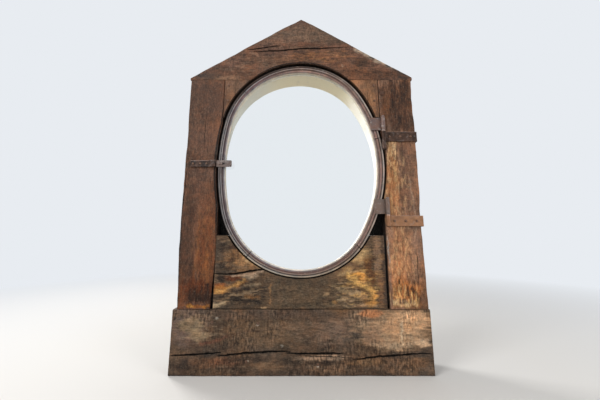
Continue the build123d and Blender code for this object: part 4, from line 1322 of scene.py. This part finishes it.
def forged_scale():
    """Hammered iron: dark scale, patches of rust, and bright rubbed high spots."""
    tree, given, out = new_group(
        "forged_scale",
        [
            ("Place", "Vector", (0, 0, 0)),
            ("Scale Tone", "Color", (0.03, 0.025, 0.022, 1)),
            ("Rust", "Float", 0.5),
            ("Rubbed", "Float", 0.2),
        ],
        [("Color", "Color"), ("Height", "Float"), ("Roughness", "Float"), ("Metal", "Float")],
    )
    dents = noise(tree, given["Place"], 70.0, 3.0, 0.5)
    grit = noise(tree, given["Place"], 320.0, 5.0, 0.65)
    patch = noise(tree, given["Place"], 45.0, 6.0, 0.6, 0.6)
    rusty = math_node(tree, "MULTIPLY", ramp(tree, patch, 0.42, 0.6), given["Rust"])
    red = mix(tree, ramp(tree, grit, 0.35, 0.65), (0.10, 0.035, 0.015, 1), (0.27, 0.12, 0.055, 1))
    colour = mix(tree, rusty, given["Scale Tone"], red)
    shine = math_node(tree, "MULTIPLY", ramp(tree, dents, 0.55, 0.7), given["Rubbed"])
    colour = mix(tree, shine, colour, (0.32, 0.29, 0.27, 1))
    height = weighted(tree, 0.0, (dents, 1.0), (grit, 0.25))
    rough = weighted(tree, 0.42, (grit, 0.3))
    metal = math_node(tree, "SUBTRACT", 0.75, rusty, clamp=True)
    for title, socket in (("Color", colour), ("Height", height), ("Roughness", rough), ("Metal", metal)):
        tree.links.new(socket, out.inputs[title])
    return tree


oak_group = oak_figure()
iron_group = forged_scale()


def material(name):
    """A material with its Principled shader and object coordinates."""
    made = bpy.data.materials.get(name) or bpy.data.materials.new(name)
    made.use_nodes = True
    tree = made.node_tree
    tree.nodes.clear()
    shader = tree.nodes.new("ShaderNodeBsdfPrincipled")
    end = tree.nodes.new("ShaderNodeOutputMaterial")
    tree.links.new(shader.outputs[0], end.inputs[0])
    place = tree.nodes.new("ShaderNodeTexCoord").outputs["Object"]
    return made, tree, shader, place


def bump(tree, shader, height, strength, distance):
    """The shader's normal, bent by a height that stands up to the distance."""
    made = new(tree, "ShaderNodeBump", {"Height": height, "Strength": strength, "Distance": distance})
    tree.links.new(made.outputs[0], shader.inputs["Normal"])


def tone_of(tree, tone):
    """The piece's own tone attribute, or one colour where a tone is given."""
    if tone is None:
        return new(tree, "ShaderNodeAttribute", attribute_name="tone").outputs["Color"]
    return (*shade(*tone), 1)


def seen(tree):
    """1 for rays from the camera, off a reflection or through the pane, and 0 for rays that only light."""
    rays = tree.nodes.new("ShaderNodeLightPath").outputs
    straight = math_node(tree, "MAXIMUM", rays["Is Camera Ray"], rays["Is Glossy Ray"])
    return math_node(tree, "MAXIMUM", straight, rays["Is Transmission Ray"])


def oak(name, grain, contrast, saw, dust, tone=None, relief=0.8):
    """Aged oak whose grain runs along x or z. Its tone is the piece's own attribute, or one colour."""
    made, tree, shader, place = material(name)
    stretches = [(1.7, 5.0, 5.2), (5.2, 5.0, 1.7)]
    stretch, cross = stretches if grain == "x" else stretches[::-1]
    values = {
        "Grain Place": new(tree, "ShaderNodeMapping", {"Vector": place, "Scale": stretch}).outputs[0],
        "Saw Place": new(tree, "ShaderNodeMapping", {"Vector": place, "Scale": cross}).outputs[0],
        "Place": place,
        "Tone": tone_of(tree, tone),
        "Contrast": contrast,
        "Saw": saw,
        "Dust": dust,
    }
    figure = new(tree, "ShaderNodeGroup", values, node_tree=oak_group)
    for key, socket in (("Color", "Base Color"), ("Roughness", "Roughness")):
        tree.links.new(figure.outputs[key], shader.inputs[socket])
    shader.inputs["Specular IOR Level"].default_value = 0.2
    bump(tree, shader, figure.outputs["Height"], relief, 1.4 * MM)
    return made


def iron(name, tone, rust, rubbed):
    """Wrought iron: its scale has the piece's own attribute or one colour, with rust and rubbed places."""
    made, tree, shader, place = material(name)
    values = {"Place": place, "Scale Tone": tone_of(tree, tone), "Rust": rust, "Rubbed": rubbed}
    figure = new(tree, "ShaderNodeGroup", values, node_tree=iron_group)
    for key, socket in (("Color", "Base Color"), ("Roughness", "Roughness"), ("Metal", "Metallic")):
        tree.links.new(figure.outputs[key], shader.inputs[socket])
    bump(tree, shader, figure.outputs["Height"], 0.7, 0.8 * MM)
    return made


sill_oak = oak("aged_sill_oak", "x", 1.15, 2.6, 0.4)
rail_oak = oak("aged_rail_oak", "x", 1.35, 0.6, 0.45)
head_oak = oak("aged_head_oak", "x", 1.3, 0.9, 0.35)
post_oak = oak("aged_post_oak", "z", 1.2, 0.5, 0.4)
board_oak = oak("aged_board_oak", "z", 0.9, 0.3, 0.3)
sash_wood = oak("sash", "z", 0.3, 0.15, 0.15, relief=0.5)
peg_oak = oak("peg_oak", "z", 0.8, 0.3, 0.3, tone=(120, 96, 72))
dark_peg = oak("dark_peg", "z", 0.6, 0.2, 0.1, tone=(84, 60, 48))
sash_peg_wood = oak("sash_peg_wood", "z", 0.6, 0.2, 0.2, tone=(112, 96, 88))

strap_iron = iron("strap_iron", None, 0.25, 0.2)
leaf_paint = iron("painted_leaf", (104, 88, 84), 0.45, 0.7)
lower_leaf_paint = iron("lower_leaf_paint", (106, 92, 84), 0.25, 0.3)
nail_iron = iron("nail_iron", (104, 80, 66), 0.3, 0.1)
pin_iron = iron("pin_iron", (116, 102, 96), 0.3, 0.5)
latch_iron = iron("latch_iron", (100, 90, 86), 0.25, 0.5)

glass, tree, shader, place = material("old_glass")
shader.inputs["Base Color"].default_value = (0.97, 0.985, 0.98, 1)
shader.inputs["Roughness"].default_value = 0.0
shader.inputs["IOR"].default_value = 1.45
shader.inputs["Transmission Weight"].default_value = 1.0
bump(tree, shader, noise(tree, place, 6.0, 1.0, 0.4), 0.05, 2 * MM)
# Light passes the pane to the lining behind it
clear = new(tree, "ShaderNodeBsdfTransparent", {"Color": (0.94, 0.95, 0.95, 1)})
lit = tree.nodes.new("ShaderNodeLightPath").outputs["Is Shadow Ray"]
passed = new(tree, "ShaderNodeMixShader", {0: lit, 1: shader.outputs[0], 2: clear.outputs[0]})
tree.links.new(passed.outputs[0], tree.nodes["Material Output"].inputs[0])

putty, tree, shader, place = material("old_putty")
grime = noise(tree, place, 60.0, 5.0, 0.6)
patched = mix(tree, ramp(tree, grime, 0.4, 0.65), (0.55, 0.51, 0.43, 1), (0.68, 0.64, 0.56, 1))
tree.links.new(patched, shader.inputs["Base Color"])
shader.inputs["Roughness"].default_value = 0.85
bump(tree, shader, grime, 0.5, 1 * MM)

lining_finish, tree, shader, place = material("lining_finish")
worn = noise(tree, place, 48.0, 6.0, 0.6)
rubbed = mix(tree, ramp(tree, worn, 0.62, 0.72), tone_of(tree, None), (0.42, 0.34, 0.25, 1))
tree.links.new(rubbed, shader.inputs["Base Color"])
shader.inputs["Roughness"].default_value = 0.6
bump(tree, shader, worn, 0.4, 0.8 * MM)


def finish_piece(piece, body, finish):
    """A new piece's body and material."""
    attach(piece, body)
    piece.data.materials.clear()
    piece.data.materials.append(finish)


finish_piece(sill, "frame", sill_oak)
finish_piece(rail, "frame", rail_oak)
finish_piece(head, "frame", head_oak)
finish_piece(left_post, "frame", post_oak)
finish_piece(right_post, "frame", post_oak)
finish_piece(lining, "frame", lining_finish)
for segment in segments:
    segment.data.materials.append(sash_wood)
for board, name in boards:
    finish_piece(board, "frame", board_oak)
for piece, node in straps:
    finish_piece(piece, "frame", strap_iron)

# Finishes of the pieces that keep their solid's shape
for finish, names in (
    (peg_oak, ["frame_pegs"]),
    (dark_peg, ["square_peg"]),
    (sash_peg_wood, ["sash_pegs"]),
    (glass, ["glass_pane"]),
    (putty, ["glazing_putty"]),
    (latch_iron, ["latch_bar"]),
    (pin_iron, ["upper_pin", "lower_pin", "upper_washer", "lower_washer", "latch_studs"]),
    (leaf_paint, ["upper_sash_leaf", "leaf_screws"]),
    (lower_leaf_paint, ["lower_sash_leaf"]),
    (nail_iron, ["sill_nails", "spandrel_nails", "keep_nails", "strap_nails"]),
):
    for name in names:
        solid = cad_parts[name]
        solid.data.materials.clear()
        solid.data.materials.append(finish)

# Floor, light and camera

floor_mesh = bpy.data.meshes.new("floor")
floor_reach = 12.0
fade_start, fade_end = 0.9, 3.4
floor_corners = [(x * floor_reach, y * floor_reach, 0) for x, y in ((-1, -1), (1, -1), (1, 1), (-1, 1))]
floor_mesh.from_pydata(floor_corners, [], [(0, 1, 2, 3)])
floor = bpy.data.objects.new("floor", floor_mesh)
bpy.context.scene.collection.objects.link(floor)
backdrop_tone = (*shade(232, 236, 241), 1)
floor_finish, tree, shader, place = material("pale_floor")
shader.inputs["Base Color"].default_value = (*shade(214, 211, 206), 1)
shader.inputs["Roughness"].default_value = 0.9
away = new(tree, "ShaderNodeVectorMath", {0: place}, operation="LENGTH").outputs["Value"]
fade = math_node(tree, "MULTIPLY", ramp(tree, away, fade_start, fade_end), seen(tree))
far_floor = new(tree, "ShaderNodeEmission", {"Color": backdrop_tone, "Strength": 1.0})
blend = new(tree, "ShaderNodeMixShader", {0: fade, 1: shader.outputs[0], 2: far_floor.outputs[0]})
tree.links.new(blend.outputs[0], tree.nodes["Material Output"].inputs[0])
floor_mesh.materials.append(floor_finish)

world = bpy.data.worlds.new("studio")
bpy.context.scene.world = world
world.use_nodes = True
tree = world.node_tree
tree.nodes.clear()
soft = new(tree, "ShaderNodeBackground", {"Color": (*shade(236, 238, 242), 1), "Strength": 0.55})
backdrop = new(tree, "ShaderNodeBackground", {"Color": backdrop_tone, "Strength": 1.0})
blend = new(tree, "ShaderNodeMixShader", {0: seen(tree), 1: soft.outputs[0], 2: backdrop.outputs[0]})
tree.links.new(blend.outputs[0], tree.nodes.new("ShaderNodeOutputWorld").inputs[0])


def lamp(name, place, target, size, power):
    """A square soft lamp that points from its place to its target. It isn't seen, nor through the pane."""
    data = bpy.data.lights.new(name, "AREA")
    data.size = size
    data.energy = power
    made = bpy.data.objects.new(name, data)
    bpy.context.scene.collection.objects.link(made)
    away = np.array(place) - np.array(target)
    made.visible_camera = False
    made.visible_transmission = False
    made.location = place
    made.rotation_euler = (
        math.atan2(math.hypot(away[0], away[1]), away[2]),
        0,
        math.atan2(away[0], -away[1]),
    )


lamp("room_key", (-2.3, -2.0, 2.7), (0, 0, 0.7), 1.4, 75)
lamp("room_fill", (2.7, -2.0, 1.4), (0, 0, 0.7), 1.4, 42)
lamp("weather_light", (-2.4, 1.5, 2.6), (0.1, 0, 0.7), 1.0, 75)

camera_place = (-0.005, -0.995, 0.458)
camera_tilt = math.radians(99.3)
camera_data = bpy.data.cameras.new("camera")
camera_data.sensor_width = 36
camera_data.lens = 15
camera_data.clip_start = 0.01
camera = bpy.data.objects.new("camera", camera_data)
bpy.context.scene.collection.objects.link(camera)
camera.location = camera_place
camera.rotation_euler = (camera_tilt, 0, 0)
bpy.context.scene.camera = camera
bpy.context.scene.view_settings.view_transform = "Standard"
